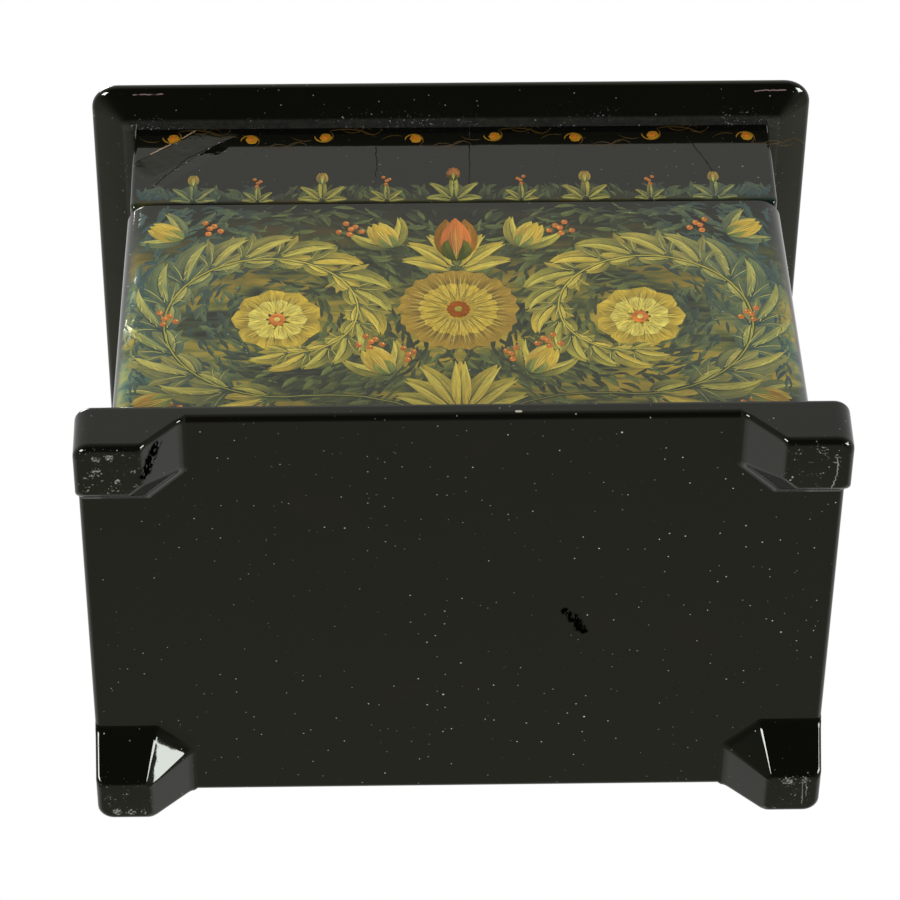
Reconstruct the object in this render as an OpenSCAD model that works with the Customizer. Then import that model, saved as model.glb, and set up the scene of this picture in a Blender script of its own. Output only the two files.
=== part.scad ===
// Lacquered papier-mache casket with a hinged lid, standing on four bevelled feet.
// The origin is on the floor under the middle of the casket, the painted front faces -Y and +Z is up.

/* [Base plate] */
// Width of the base plate
base_w = 141; // [125:1:180]
// Depth of the base plate
base_d = 101.5; // [85:1:140]
// Thickness of the base plate
base_t = 3.8; // [2.8:0.1:6]
// Radius of the base plate's corners, seen from above
base_corner_r = 3.2; // [2.6:0.1:6]
// Rounding of the base plate's edges
base_edge_r = 1.2; // [0.4:0.1:1.3]

/* [Feet] */
// Height of the feet
foot_h = 7.4; // [4:0.1:14]
// Side of a front foot where it meets the base plate
front_foot_top = 19.6; // [16:0.1:26]
// Side of a rear foot where it meets the base plate
rear_foot_top = 18.6; // [16:0.1:26]
// Side of a front foot's sole
front_sole = 12.2; // [9:0.1:15]
// Side of a rear foot's sole
rear_sole = 10.5; // [8:0.1:15]
// How far the inner corner of a foot is cut off at the base plate
foot_cut_top = 7; // [3:0.1:8]
// How far the inner corner of a front foot is cut off at its sole
front_sole_cut = 2.4; // [0.4:0.1:5]
// How far the inner corner of a rear foot is cut off at its sole
rear_sole_cut = 0.8; // [0.4:0.1:5]

/* [Body] */
// Distance from the base plate's edge in to the foot of the body wall
body_inset = 6; // [3:0.1:12]
// Height of the body wall above the base plate
body_h = 63.4; // [40:0.1:100]
// Distance that each wall leans in from its foot to its top
body_lean = 1.3; // [0:0.1:3]
// Outer radius of the body's upright corners
body_corner_r = 4.8; // [2:0.1:8]
// Thickness of the body wall at its top
body_wall = 4.4; // [4:0.1:7]
// Radius of the hollow's upright corners
hollow_corner_r = 2.6; // [1:0.1:5]

/* [Lining] */
// Thickness of the lining tube
lining_t = 1.4; // [0.8:0.1:2.5]
// Height of the lining's lip above the body wall
lining_rise = 3; // [1.5:0.1:6]
// Glue gap between the lining and the body wall
glue_gap = 0.05; // [0.02:0.01:0.2]

/* [Lid] */
// Gap of the seam between the body and the lid
seam_gap = 0.3; // [0.1:0.05:0.6]
// Height of the lid's rim
rim_h = 22.9; // [16:0.1:45]
// Distance that the rim is set back from the top of the body wall
rim_set_back = 0.6; // [0:0.1:0.6]
// Outer radius of the rim's upright corners
rim_corner_r = 1; // [0.3:0.1:2]
// Clearance between the rim and the lining's lip
lip_clear = 0.35; // [0.2:0.05:0.6]
// Overhang of the lid board past the rim
lid_over = 8.1; // [5:0.1:14]
// Width of the flat strip under the board, next to the rim
soffit_w = 1.7; // [0.5:0.1:3]
// Rise of the board's bevelled underside to the middle of its nose
nose_rise = 3.6; // [2:0.1:8]
// Radius of the board's rounded nose
nose_r = 1; // [0.6:0.1:1.5]
// Radius of the board's corners, seen from above
lid_corner_r = 5.2; // [2.6:0.1:8]
// Rise of the board's crowned top above its nose
crown_rise = 3; // [0.5:0.1:8]
// Distance over which the crown rises from the board's edge
crown_run = 34; // [10:1:38]

/* [Hinges] */
// Distance from the end of the body's top edge in to the middle of a hinge
hinge_inset = 21.8; // [18:0.1:36]
// Length of a hinge's barrel and width of its leaves
hinge_w = 14; // [12:0.5:20]
// Distance of the hinge axis in from the body's rear face
hinge_set_in = 1.6; // [1.5:0.05:1.8]
// Diameter of the barrel
barrel_d = 2.6; // [2.2:0.1:3]
// Diameter of the hinge pin
pin_d = 1; // [0.8:0.05:1.1]
// Radial play of the pin in the barrel
pin_play = 0.05; // [0.02:0.01:0.1]
// Diameter of the pin's peened ends
pin_head_d = 1.8; // [1.5:0.1:2.1]
// Thickness of a peened end
pin_head_t = 0.3; // [0.2:0.05:0.5]
// Thickness of a leaf
leaf_t = 0.5; // [0.4:0.05:0.6]
// Reach of a leaf into the wall, from the hinge axis
leaf_reach = 9; // [7:0.1:12]
// Clearance around moving and let-in hinge parts
hinge_clear = 0.2; // [0.1:0.05:0.3]
// Clearance of a leaf in its saw cut, on each side
slot_clear = 0.05; // [0.02:0.01:0.1]
// Angle of the bevelled rear edges, which stop the open lid
edge_bevel = 50; // [50:1:60]

/* [Nails] */
// Diameter of the nails through the leaves
nail_d = 0.9; // [0.6:0.05:1]
// Clearance of a nail in its hole
nail_clear = 0.04; // [0.02:0.01:0.1]
// Distance between the two nails of a leaf
nail_spacing = 8.5; // [5:0.5:9]
// Distance of the nails from the hinge axis
nail_drop = 5.5; // [4:0.1:5.8]
// How far a nail goes past its leaf
nail_past = 0.4; // [0.2:0.05:0.5]
// Diameter of the lid nails' heads
nail_head_d = 1.8; // [1.4:0.1:2.4]
// Thickness of the lid nails' heads
nail_head_t = 0.3; // [0.2:0.05:0.5]

/* [Hidden] */

black_lacquer = "#15140f";
red_lacquer = "#8c1f14";
brass = "#b08d45";

$fn = 64;
hull_fn = 32;
slice = 0.05;
cut_past = 1;
crown_steps = 6;

// Heights, from the floor up
plate_z = foot_h;
floor_z = plate_z + base_t;
seam_z = floor_z + body_h;
rim_z = seam_z + seam_gap;
board_z = rim_z + rim_h;
nose_z = board_z + nose_rise;
lip_z = seam_z + lining_rise;

// Body, lining, rim and board, seen from above
body_w = base_w - 2 * body_inset;
body_d = base_d - 2 * body_inset;
top_w = body_w - 2 * body_lean;
top_d = body_d - 2 * body_lean;
hollow_w = top_w - 2 * body_wall;
hollow_d = top_d - 2 * body_wall;
lining_w = hollow_w - 2 * glue_gap;
lining_d = hollow_d - 2 * glue_gap;
rim_w = top_w - 2 * rim_set_back;
rim_d = top_d - 2 * rim_set_back;
rim_hollow_w = lining_w + 2 * lip_clear;
rim_hollow_d = lining_d + 2 * lip_clear;
board_w = rim_w + 2 * lid_over;
board_d = rim_d + 2 * lid_over;
soffit_outer_w = rim_w + 2 * soffit_w;
soffit_outer_d = rim_d + 2 * soffit_w;

// Hinge axis and barrel
hinge_x = top_w / 2 - hinge_inset;
axis_y = top_d / 2 - hinge_set_in;
axis_z = seam_z + seam_gap / 2;
barrel_r = barrel_d / 2;
pocket_r = barrel_r + hinge_clear;
bore_r = pin_d / 2 + pin_play;
knuckle_l = (hinge_w - 2 * hinge_clear) / 3;
pin_l = hinge_w + 2 * pin_head_t;
pocket_l = pin_l + 2 * hinge_clear;
slot_t = leaf_t + 2 * slot_clear;
slot_w = hinge_w + 2 * slot_clear;
nail_hole_r = nail_d / 2 + nail_clear;
nail_end_y = axis_y + leaf_t / 2 + nail_past;

module rounded_rectangle(w, d, r) {
    square([w - 2 * r, d], center = true);
    square([w, d - 2 * r], center = true);
    for (x = [-1, 1], y = [-1, 1]) {
        translate([x * (w / 2 - r), y * (d / 2 - r)]) circle(r);
    }
}

// Puts its children at the four corners of a rectangle
module at_corners(w, d) {
    for (x = [-1, 1], y = [-1, 1]) {
        translate([x * w / 2, y * d / 2, 0]) children();
    }
}

// One thin level of a hull, a rectangle with round corners
module level(w, d, r, z) {
    translate([0, 0, z]) at_corners(w - 2 * r, d - 2 * r) cylinder(h = slice, r = r, $fn = hull_fn);
}

// A disc whose edge is rounded to a full or partial nose
module nosed_disc(plan_r, edge_r) {
    rotate_extrude($fn = 48) translate([plan_r - edge_r, 0]) circle(edge_r, $fn = 24);
}

module base_plate() {
    color(black_lacquer) hull() {
        for (z = [plate_z + base_edge_r, floor_z - base_edge_r]) {
            translate([0, 0, z]) at_corners(base_w - 2 * base_corner_r, base_d - 2 * base_corner_r)
                nosed_disc(base_corner_r, base_edge_r);
        }
    }
}

// A wedge that keeps what lies towards the outer corner of a foot, along one direction
module foot_wedge(sole_reach, top_reach, span) {
    translate([0, span, 0]) rotate([90, 0, 0]) linear_extrude(2 * span)
        polygon([[-span, 0], [sole_reach, 0], [top_reach, foot_h], [-span, foot_h]]);
}

// One foot, with its outer corner at the origin and its inner corner towards +X and +Y
module foot(top, sole, sole_cut) {
    diagonal = sqrt(2);
    span = 2 * top;
    intersection() {
        linear_extrude(foot_h) difference() {
            square(top);
            difference() {
                square(base_corner_r);
                translate([base_corner_r, base_corner_r]) circle(base_corner_r);
            }
        }
        foot_wedge(sole, top, span);
        mirror([1, -1, 0]) foot_wedge(sole, top, span);
        rotate([0, 0, 45])
            foot_wedge((2 * sole - sole_cut) / diagonal, (2 * top - foot_cut_top) / diagonal, span);
    }
}

// A foot under a corner of the base plate, the front being side_y = -1
module foot_at(side_x, side_y) {
    color(black_lacquer) translate([side_x * base_w / 2, side_y * base_d / 2, 0])
        mirror([side_x > 0 ? 1 : 0, 0, 0]) mirror([0, side_y > 0 ? 1 : 0, 0])
            if (side_y < 0) foot(front_foot_top, front_sole, front_sole_cut);
            else foot(rear_foot_top, rear_sole, rear_sole_cut);
}

// What is bevelled off the rear edges on both sides of the seam, so that the lid can swing back
module rear_bevel() {
    reach = hinge_set_in + body_lean + cut_past;
    rise = reach * tan(edge_bevel);
    half_gap = seam_gap / 2;
    translate([base_w / 2, axis_y, axis_z]) rotate([90, 0, -90]) linear_extrude(base_w)
        polygon([[0, -half_gap], [-reach, -half_gap - rise], [-reach, half_gap + rise], [0, half_gap]]);
}

// The hollows for both barrels, and the saw cuts that run from the axis towards up, 1 or -1
module hinge_cuts(up) {
    for (x = [-1, 1] * hinge_x) {
        translate([x, axis_y, axis_z]) {
            rotate([0, 90, 0]) cylinder(h = pocket_l, r = pocket_r, center = true);
            translate([-slot_w / 2, -slot_t / 2, up > 0 ? 0 : -leaf_reach - slot_clear])
                cube([slot_w, slot_t, leaf_reach + slot_clear]);
        }
    }
}

// The places of the nails of both leaves on one side of the seam
module at_nails(up) {
    for (x = [-1, 1] * hinge_x, dx = [-1, 1] * nail_spacing / 2) {
        translate([x + dx, 0, axis_z + up * nail_drop]) children();
    }
}

// A round bar along Y, from one place to another
module bar_y(from, to, r) {
    translate([0, from, 0]) rotate([-90, 0, 0]) cylinder(h = to - from, r = r);
}

module body_shell() {
    color(black_lacquer) difference() {
        hull() {
            level(body_w, body_d, body_corner_r, floor_z);
            level(top_w, top_d, body_corner_r, seam_z - slice);
        }
        translate([0, 0, floor_z - cut_past]) linear_extrude(body_h + 2 * cut_past)
            rounded_rectangle(hollow_w, hollow_d, hollow_corner_r);
        rear_bevel();
        hinge_cuts(-1);
        at_nails(-1) bar_y(hollow_d / 2 - cut_past, nail_end_y + nail_clear, nail_hole_r);
    }
}

module inner_lining() {
    outer_r = hollow_corner_r - glue_gap;
    inner_r = max(outer_r - lining_t, 0.3);
    color(red_lacquer) translate([0, 0, floor_z]) linear_extrude(lip_z - floor_z) difference() {
        rounded_rectangle(lining_w, lining_d, outer_r);
        rounded_rectangle(lining_w - 2 * lining_t, lining_d - 2 * lining_t, inner_r);
    }
}

// The whole rim, which the strips are mitred out of
module rim_ring() {
    difference() {
        translate([0, 0, rim_z]) linear_extrude(rim_h) difference() {
            rounded_rectangle(rim_w, rim_d, rim_corner_r);
            square([rim_hollow_w, rim_hollow_d], center = true);
        }
        rear_bevel();
        hinge_cuts(1);
        at_nails(1) bar_y(rim_hollow_d / 2 - cut_past, nail_end_y + nail_clear, nail_hole_r);
    }
}

// The part of the rim that a strip covers, cut to a mitre at both ends
module rim_strip(w, d, turn) {
    wall = (rim_w - rim_hollow_w) / 2;
    color(black_lacquer) intersection() {
        rim_ring();
        rotate([0, 0, turn]) translate([0, 0, rim_z - cut_past]) linear_extrude(rim_h + 2 * cut_past)
            polygon([
                [-w / 2 - cut_past, -d / 2 - cut_past], [w / 2 + cut_past, -d / 2 - cut_past],
                [w / 2 - wall - cut_past, -d / 2 + wall + cut_past],
                [-w / 2 + wall + cut_past, -d / 2 + wall + cut_past]
            ]);
    }
}

module rim_front() {
    rim_strip(rim_w, rim_d, 0);
}

module rim_right() {
    rim_strip(rim_d, rim_w, 90);
}

module rim_rear() {
    rim_strip(rim_w, rim_d, 180);
}

module rim_left() {
    rim_strip(rim_d, rim_w, 270);
}

module lid_board() {
    color(black_lacquer) hull() {
        level(soffit_outer_w, soffit_outer_d, rim_corner_r, board_z);
        translate([0, 0, nose_z]) at_corners(board_w - 2 * lid_corner_r, board_d - 2 * lid_corner_r)
            nosed_disc(lid_corner_r, nose_r);
        for (step = [1 : crown_steps]) {
            part = step / crown_steps;
            inset = nose_r + part * crown_run;
            rise = nose_r + crown_rise * (1 - pow(1 - part, 2));
            level(board_w - 2 * inset, board_d - 2 * inset, lid_corner_r, nose_z + rise - slice);
        }
    }
}

// One knuckle of a barrel, bored for the pin, from one place along X to another
module knuckle(from, to) {
    translate([from, 0, 0]) rotate([0, 90, 0]) difference() {
        cylinder(h = to - from, r = barrel_r);
        translate([0, 0, -cut_past]) cylinder(h = to - from + 2 * cut_past, r = bore_r);
    }
}

// A leaf hanging down from the axis, with knuckles given as [from, to] places along X
module leaf(knuckles) {
    clear_z = pocket_r;
    difference() {
        union() {
            translate([-hinge_w / 2, -leaf_t / 2, -leaf_reach])
                cube([hinge_w, leaf_t, leaf_reach - clear_z]);
            for (k = knuckles) {
                knuckle(k[0], k[1]);
                translate([k[0], -leaf_t / 2, -clear_z - slice])
                    cube([k[1] - k[0], leaf_t, clear_z + slice - (bore_r + barrel_r) / 2]);
            }
        }
        for (dx = [-1, 1] * nail_spacing / 2) {
            translate([dx, 0, -nail_drop]) bar_y(-leaf_t, leaf_t, nail_hole_r);
        }
    }
}

module body_leaf(x) {
    outer = hinge_w / 2;
    inner = knuckle_l / 2 + hinge_clear;
    color(brass) translate([x, axis_y, axis_z]) leaf([[-outer, -inner], [inner, outer]]);
}

module lid_leaf(x) {
    color(brass) translate([x, axis_y, axis_z]) mirror([0, 0, 1]) leaf([[-knuckle_l / 2, knuckle_l / 2]]);
}

module hinge_pin(x) {
    color(brass) translate([x, axis_y, axis_z]) rotate([0, 90, 0]) {
        cylinder(h = pin_l, r = pin_d / 2, center = true);
        for (side = [0, 1]) {
            mirror([0, 0, side]) translate([0, 0, hinge_w / 2]) cylinder(h = pin_head_t, r = pin_head_d / 2);
        }
    }
}

module body_nails() {
    color(brass) at_nails(-1) bar_y(hollow_d / 2, nail_end_y, nail_d / 2);
}

module lid_nails() {
    color(brass) at_nails(1) {
        bar_y(rim_hollow_d / 2, nail_end_y, nail_d / 2);
        bar_y(rim_hollow_d / 2 - nail_head_t, rim_hollow_d / 2, nail_head_d / 2);
    }
}

base_plate();
foot_at(-1, -1);  // foot_front_left
foot_at(1, -1);  // foot_front_right
foot_at(-1, 1);  // foot_rear_left
foot_at(1, 1);  // foot_rear_right
body_shell();
inner_lining();
rim_front();
rim_rear();
rim_left();
rim_right();
lid_board();
body_leaf(-hinge_x);  // hinge_left_body_leaf
lid_leaf(-hinge_x);  // hinge_left_lid_leaf
hinge_pin(-hinge_x);  // hinge_left_pin
body_leaf(hinge_x);  // hinge_right_body_leaf
lid_leaf(hinge_x);  // hinge_right_lid_leaf
hinge_pin(hinge_x);  // hinge_right_pin
body_nails();
lid_nails();
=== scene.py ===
"""Looks of the lacquered papier-mache casket: turned-in lacquer skins, painted front, brass hinges.

Sizes are in millimetres and are turned into metres when a mesh is made. The origin is on the floor
under the middle of the casket, the painted front faces -Y and +Z is up.
"""

import math
import random

import bmesh
import bpy
import numpy as np
from mathutils import Matrix, Vector


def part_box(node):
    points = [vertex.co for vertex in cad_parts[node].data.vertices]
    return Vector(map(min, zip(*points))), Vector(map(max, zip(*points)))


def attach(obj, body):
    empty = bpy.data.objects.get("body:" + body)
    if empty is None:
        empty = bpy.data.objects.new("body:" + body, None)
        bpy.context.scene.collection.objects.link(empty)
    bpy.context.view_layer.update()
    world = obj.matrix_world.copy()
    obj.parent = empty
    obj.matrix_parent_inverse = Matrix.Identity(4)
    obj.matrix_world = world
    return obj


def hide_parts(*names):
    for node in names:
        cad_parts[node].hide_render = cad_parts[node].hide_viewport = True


MM = 0.001


def node_box(node):
    """The lowest and highest corner of a CAD node, in millimetres."""
    low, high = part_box(node)
    return low / MM, high / MM


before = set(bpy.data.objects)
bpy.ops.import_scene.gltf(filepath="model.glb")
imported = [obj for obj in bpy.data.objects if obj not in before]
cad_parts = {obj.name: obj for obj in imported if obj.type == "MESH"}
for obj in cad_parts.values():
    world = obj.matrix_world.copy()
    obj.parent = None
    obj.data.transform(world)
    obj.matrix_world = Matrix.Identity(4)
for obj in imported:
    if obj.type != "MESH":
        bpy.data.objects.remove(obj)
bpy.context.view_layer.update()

# Driving sizes, off the frame
plate_low, plate_high = node_box("base_plate")
shell_low, shell_high = node_box("body_shell")
_, lining_high = node_box("inner_lining")
rim_low, _ = node_box("rim_front")
_, rim_high = node_box("rim_right")
board_low, board_high = node_box("lid_board")
pin_low, pin_high = node_box("hinge_right_pin")

PLATE_W, PLATE_D = plate_high.x, plate_high.y
BODY_W, BODY_D = shell_high.x, shell_high.y
LINING_W, LINING_D = lining_high.x, lining_high.y
RIM_W, RIM_D = rim_high.x, -rim_low.y
BOARD_W, BOARD_D = board_high.x, board_high.y
PLATE_Z, FLOOR_Z, SEAM_Z = plate_low.z, shell_low.z, shell_high.z
RIM_Z, BOARD_Z, TOP_Z = rim_low.z, board_low.z, board_high.z
LIP_Z = lining_high.z
AXIS_Y, AXIS_Z = (pin_low.y + pin_high.y) / 2, (pin_low.z + pin_high.z) / 2
HINGE_X = (pin_low.x + pin_high.x) / 2

# Sizes that the frame's boxes do not give
PLATE_CORNER, PLATE_EDGE = 3.2, 1.2

# A foot's reach inwards at the plate and at the sole, and what is cut off its inner corner there
FOOT_TOP = {"front": 19.6, "rear": 18.6}
SOLE = {"front": 12.2, "rear": 10.5}
FOOT_CUT_TOP = 7.0
SOLE_CUT = {"front": 2.4, "rear": 0.8}
# The rounding of its outer and inner lower edges and of its ridges, and the small hollow under the plate
SOLE_ROUND, SLOPE_ROUND, SLOPE_BEND = 1.3, 0.45, 1.1
FLARE_H, FLARE_W = 0.9, 0.6

# The body leans in towards its top. The lining is glued into its hollow.
LEAN = 1.3
TOP_W, TOP_D = BODY_W - LEAN, BODY_D - LEAN
BODY_CORNER, HOLLOW_CORNER = 4.8, 2.6
GLUE_GAP, LINING_T = 0.05, 1.4
HOLLOW_W, HOLLOW_D = LINING_W + GLUE_GAP, LINING_D + GLUE_GAP
LINING_CORNER = HOLLOW_CORNER - GLUE_GAP
BODY_EDGE, LIP_EDGE = 0.3, 0.5

# The rim, its room around the lining's lip, and the height above its lower edge where the red coat ends
RIM_CORNER, RIM_EDGE, LIP_CLEAR, COAT_STOPS = 1.0, 1.2, 0.35, 2.2
RIM_HOLLOW_W, RIM_HOLLOW_D = LINING_W + LIP_CLEAR, LINING_D + LIP_CLEAR

# The lid board: flat strip next to the rim, bevel up to a round nose, and crown, with room for its paint
SOFFIT = 1.7
NOSE_RISE, NOSE_R, BOARD_CORNER = 3.6, 1.0, 5.2
PAINT_ROOM = 0.15
CROWN_RISE, CROWN_RUN = 3.0 - PAINT_ROOM, 34.0

# The bevel along both rear edges at the seam, and the pockets of the hinge barrels
EDGE_BEVEL = math.radians(50)
POCKET_R, POCKET_L = 1.5, 15.0

# The four sides, by the way they face
FACINGS = (("front", (0, -1, 0)), ("right", (1, 0, 0)), ("rear", (0, 1, 0)), ("left", (-1, 0, 0)))
SIDES = {side: Vector(facing) for side, facing in FACINGS}
UP = Vector((0, 0, 1))

# How finely edges are turned, and the narrow flat next to each that keeps its neighbour flat
ARC_STEPS = 10
HOLD = 0.12


# Meshes


def new_piece(name, bm, material, body, smooth_below=35):
    """Makes a mesh, drawn in millimetres, a piece of the casket."""
    bmesh.ops.recalc_face_normals(bm, faces=bm.faces)
    bmesh.ops.scale(bm, vec=(MM, MM, MM), verts=bm.verts)
    mesh = bpy.data.meshes.new(name)
    bm.to_mesh(mesh)
    bm.free()
    mesh.shade_smooth()
    mesh.set_sharp_from_angle(angle=math.radians(smooth_below))
    mesh.materials.append(material)
    piece = bpy.data.objects.new(name, mesh)
    bpy.context.scene.collection.objects.link(piece)
    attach(piece, body)
    return piece


def rounded_outline(corners, radii, steps=ARC_STEPS):
    """A closed outline whose corners are arcs, each between two holding points."""
    points = []
    for k, (corner, radius) in enumerate(zip(corners, radii)):
        corner = Vector(corner)
        back = (Vector(corners[k - 1]) - corner).normalized()
        ahead = (Vector(corners[(k + 1) % len(corners)]) - corner).normalized()
        half = back.angle(ahead) / 2
        run = radius / math.tan(half)
        centre = corner + (back + ahead).normalized() * radius / math.sin(half)
        start, end = corner + back * run, corner + ahead * run
        sweep = (start - centre).angle_signed(end - centre)
        points.append(start + back * HOLD)
        for step in range(steps + 1):
            points.append(centre + Matrix.Rotation(-sweep * step / steps, 2) @ (start - centre))
        points.append(end + ahead * HOLD)
    return points


def rectangle(half_w, half_d, radius, z):
    """A ring of points: a rectangle with round corners at the height z."""
    corners = [(-half_w, -half_d), (half_w, -half_d), (half_w, half_d), (-half_w, half_d)]
    return [Vector((p.x, p.y, z)) for p in rounded_outline(corners, [radius] * 4)]


def skin(rings, tube=False):
    """Joins rings of points, one after the other. A tube's last ring joins its first."""
    bm = bmesh.new()
    rows = [[bm.verts.new(p) for p in ring] for ring in rings]
    if tube:
        rows.append(rows[0])
    count = len(rows[0])
    for low, high in zip(rows, rows[1:]):
        for k in range(count):
            bm.faces.new((low[k], low[(k + 1) % count], high[(k + 1) % count], high[k]))
    if not tube:
        bm.faces.new(rows[0])
        bm.faces.new(rows[-1])
    return bm


def turned_edge(radius, start, end, steps=6):
    """Steps of (inward, upward) along an arc, as angles from straight out, in degrees."""
    for step in range(steps + 1):
        angle = math.radians(start + (end - start) * step / steps)
        yield radius * (1 - math.cos(angle)), radius * math.sin(angle)


def slab_profile(low, high, edge):
    """(inset, height) pairs of a slab whose edges are rounded, from its bottom to its top."""
    pairs = [(edge + HOLD, low)]
    pairs += [(inward, low + edge + up) for inward, up in turned_edge(edge, -90, 0)]
    pairs += [(0, low + edge + HOLD), (0, high - edge - HOLD)]
    pairs += [(inward, high - edge + up) for inward, up in turned_edge(edge, 0, 90)]
    return pairs + [(edge + HOLD, high)]


def cut_out(piece, cutters):
    """Takes solids, each a bmesh in millimetres, out of a piece."""
    for number, bm in enumerate(cutters):
        bmesh.ops.recalc_face_normals(bm, faces=bm.faces)
        bmesh.ops.scale(bm, vec=(MM, MM, MM), verts=bm.verts)
        mesh = bpy.data.meshes.new("cutter")
        bm.to_mesh(mesh)
        bm.free()
        cutter = bpy.data.objects.new("cutter", mesh)
        bpy.context.scene.collection.objects.link(cutter)
        cut = piece.modifiers.new("cut", "BOOLEAN")
        cut.operation, cut.solver, cut.object = "DIFFERENCE", "EXACT", cutter
        depsgraph = bpy.context.evaluated_depsgraph_get()
        result = bpy.data.meshes.new_from_object(piece.evaluated_get(depsgraph))
        piece.modifiers.clear()
        old, piece.data = piece.data, result
        name = old.name
        bpy.data.meshes.remove(old)
        result.name = name
        bpy.data.objects.remove(cutter)
    piece.data.set_sharp_from_angle(angle=math.radians(35))


def bar(centre_y, centre_z, radius, from_x, to_x, sides=32):
    """A round bar along X."""
    rings = []
    for x in (from_x, to_x):
        turn = [2 * math.pi * k / sides for k in range(sides)]
        ring = [(x, centre_y + radius * math.cos(a), centre_z + radius * math.sin(a)) for a in turn]
        rings.append([Vector(p) for p in ring])
    return skin(rings)


def rear_groove():
    """What is bevelled off both rear edges along the seam, from the hinge axis outwards."""
    half_gap = (RIM_Z - SEAM_Z) / 2
    reach = BODY_D - AXIS_Y + 1
    rise = reach * math.tan(EDGE_BEVEL)
    outline = [(0, -half_gap), (reach, -half_gap - rise), (reach, half_gap + rise), (0, half_gap)]
    rings = [[Vector((x, AXIS_Y + y, AXIS_Z + z)) for y, z in outline] for x in (-BOARD_W, BOARD_W)]
    return skin(rings)


def barrel_pockets():
    """The hollows for the two hinge barrels."""
    return [
        bar(AXIS_Y, AXIS_Z, POCKET_R, side * HINGE_X - POCKET_L / 2, side * HINGE_X + POCKET_L / 2)
        for side in (-1, 1)
    ]


# Materials


def start_material(name, **sockets):
    """A material with one Principled shader, whose plain values are set on its own sockets."""
    material = bpy.data.materials.new(name)
    material.use_nodes = True
    tree = material.node_tree
    shader = tree.nodes["Principled BSDF"]
    for socket, value in sockets.items():
        shader.inputs[socket.replace("_", " ")].default_value = value
    return material, tree, shader


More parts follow.
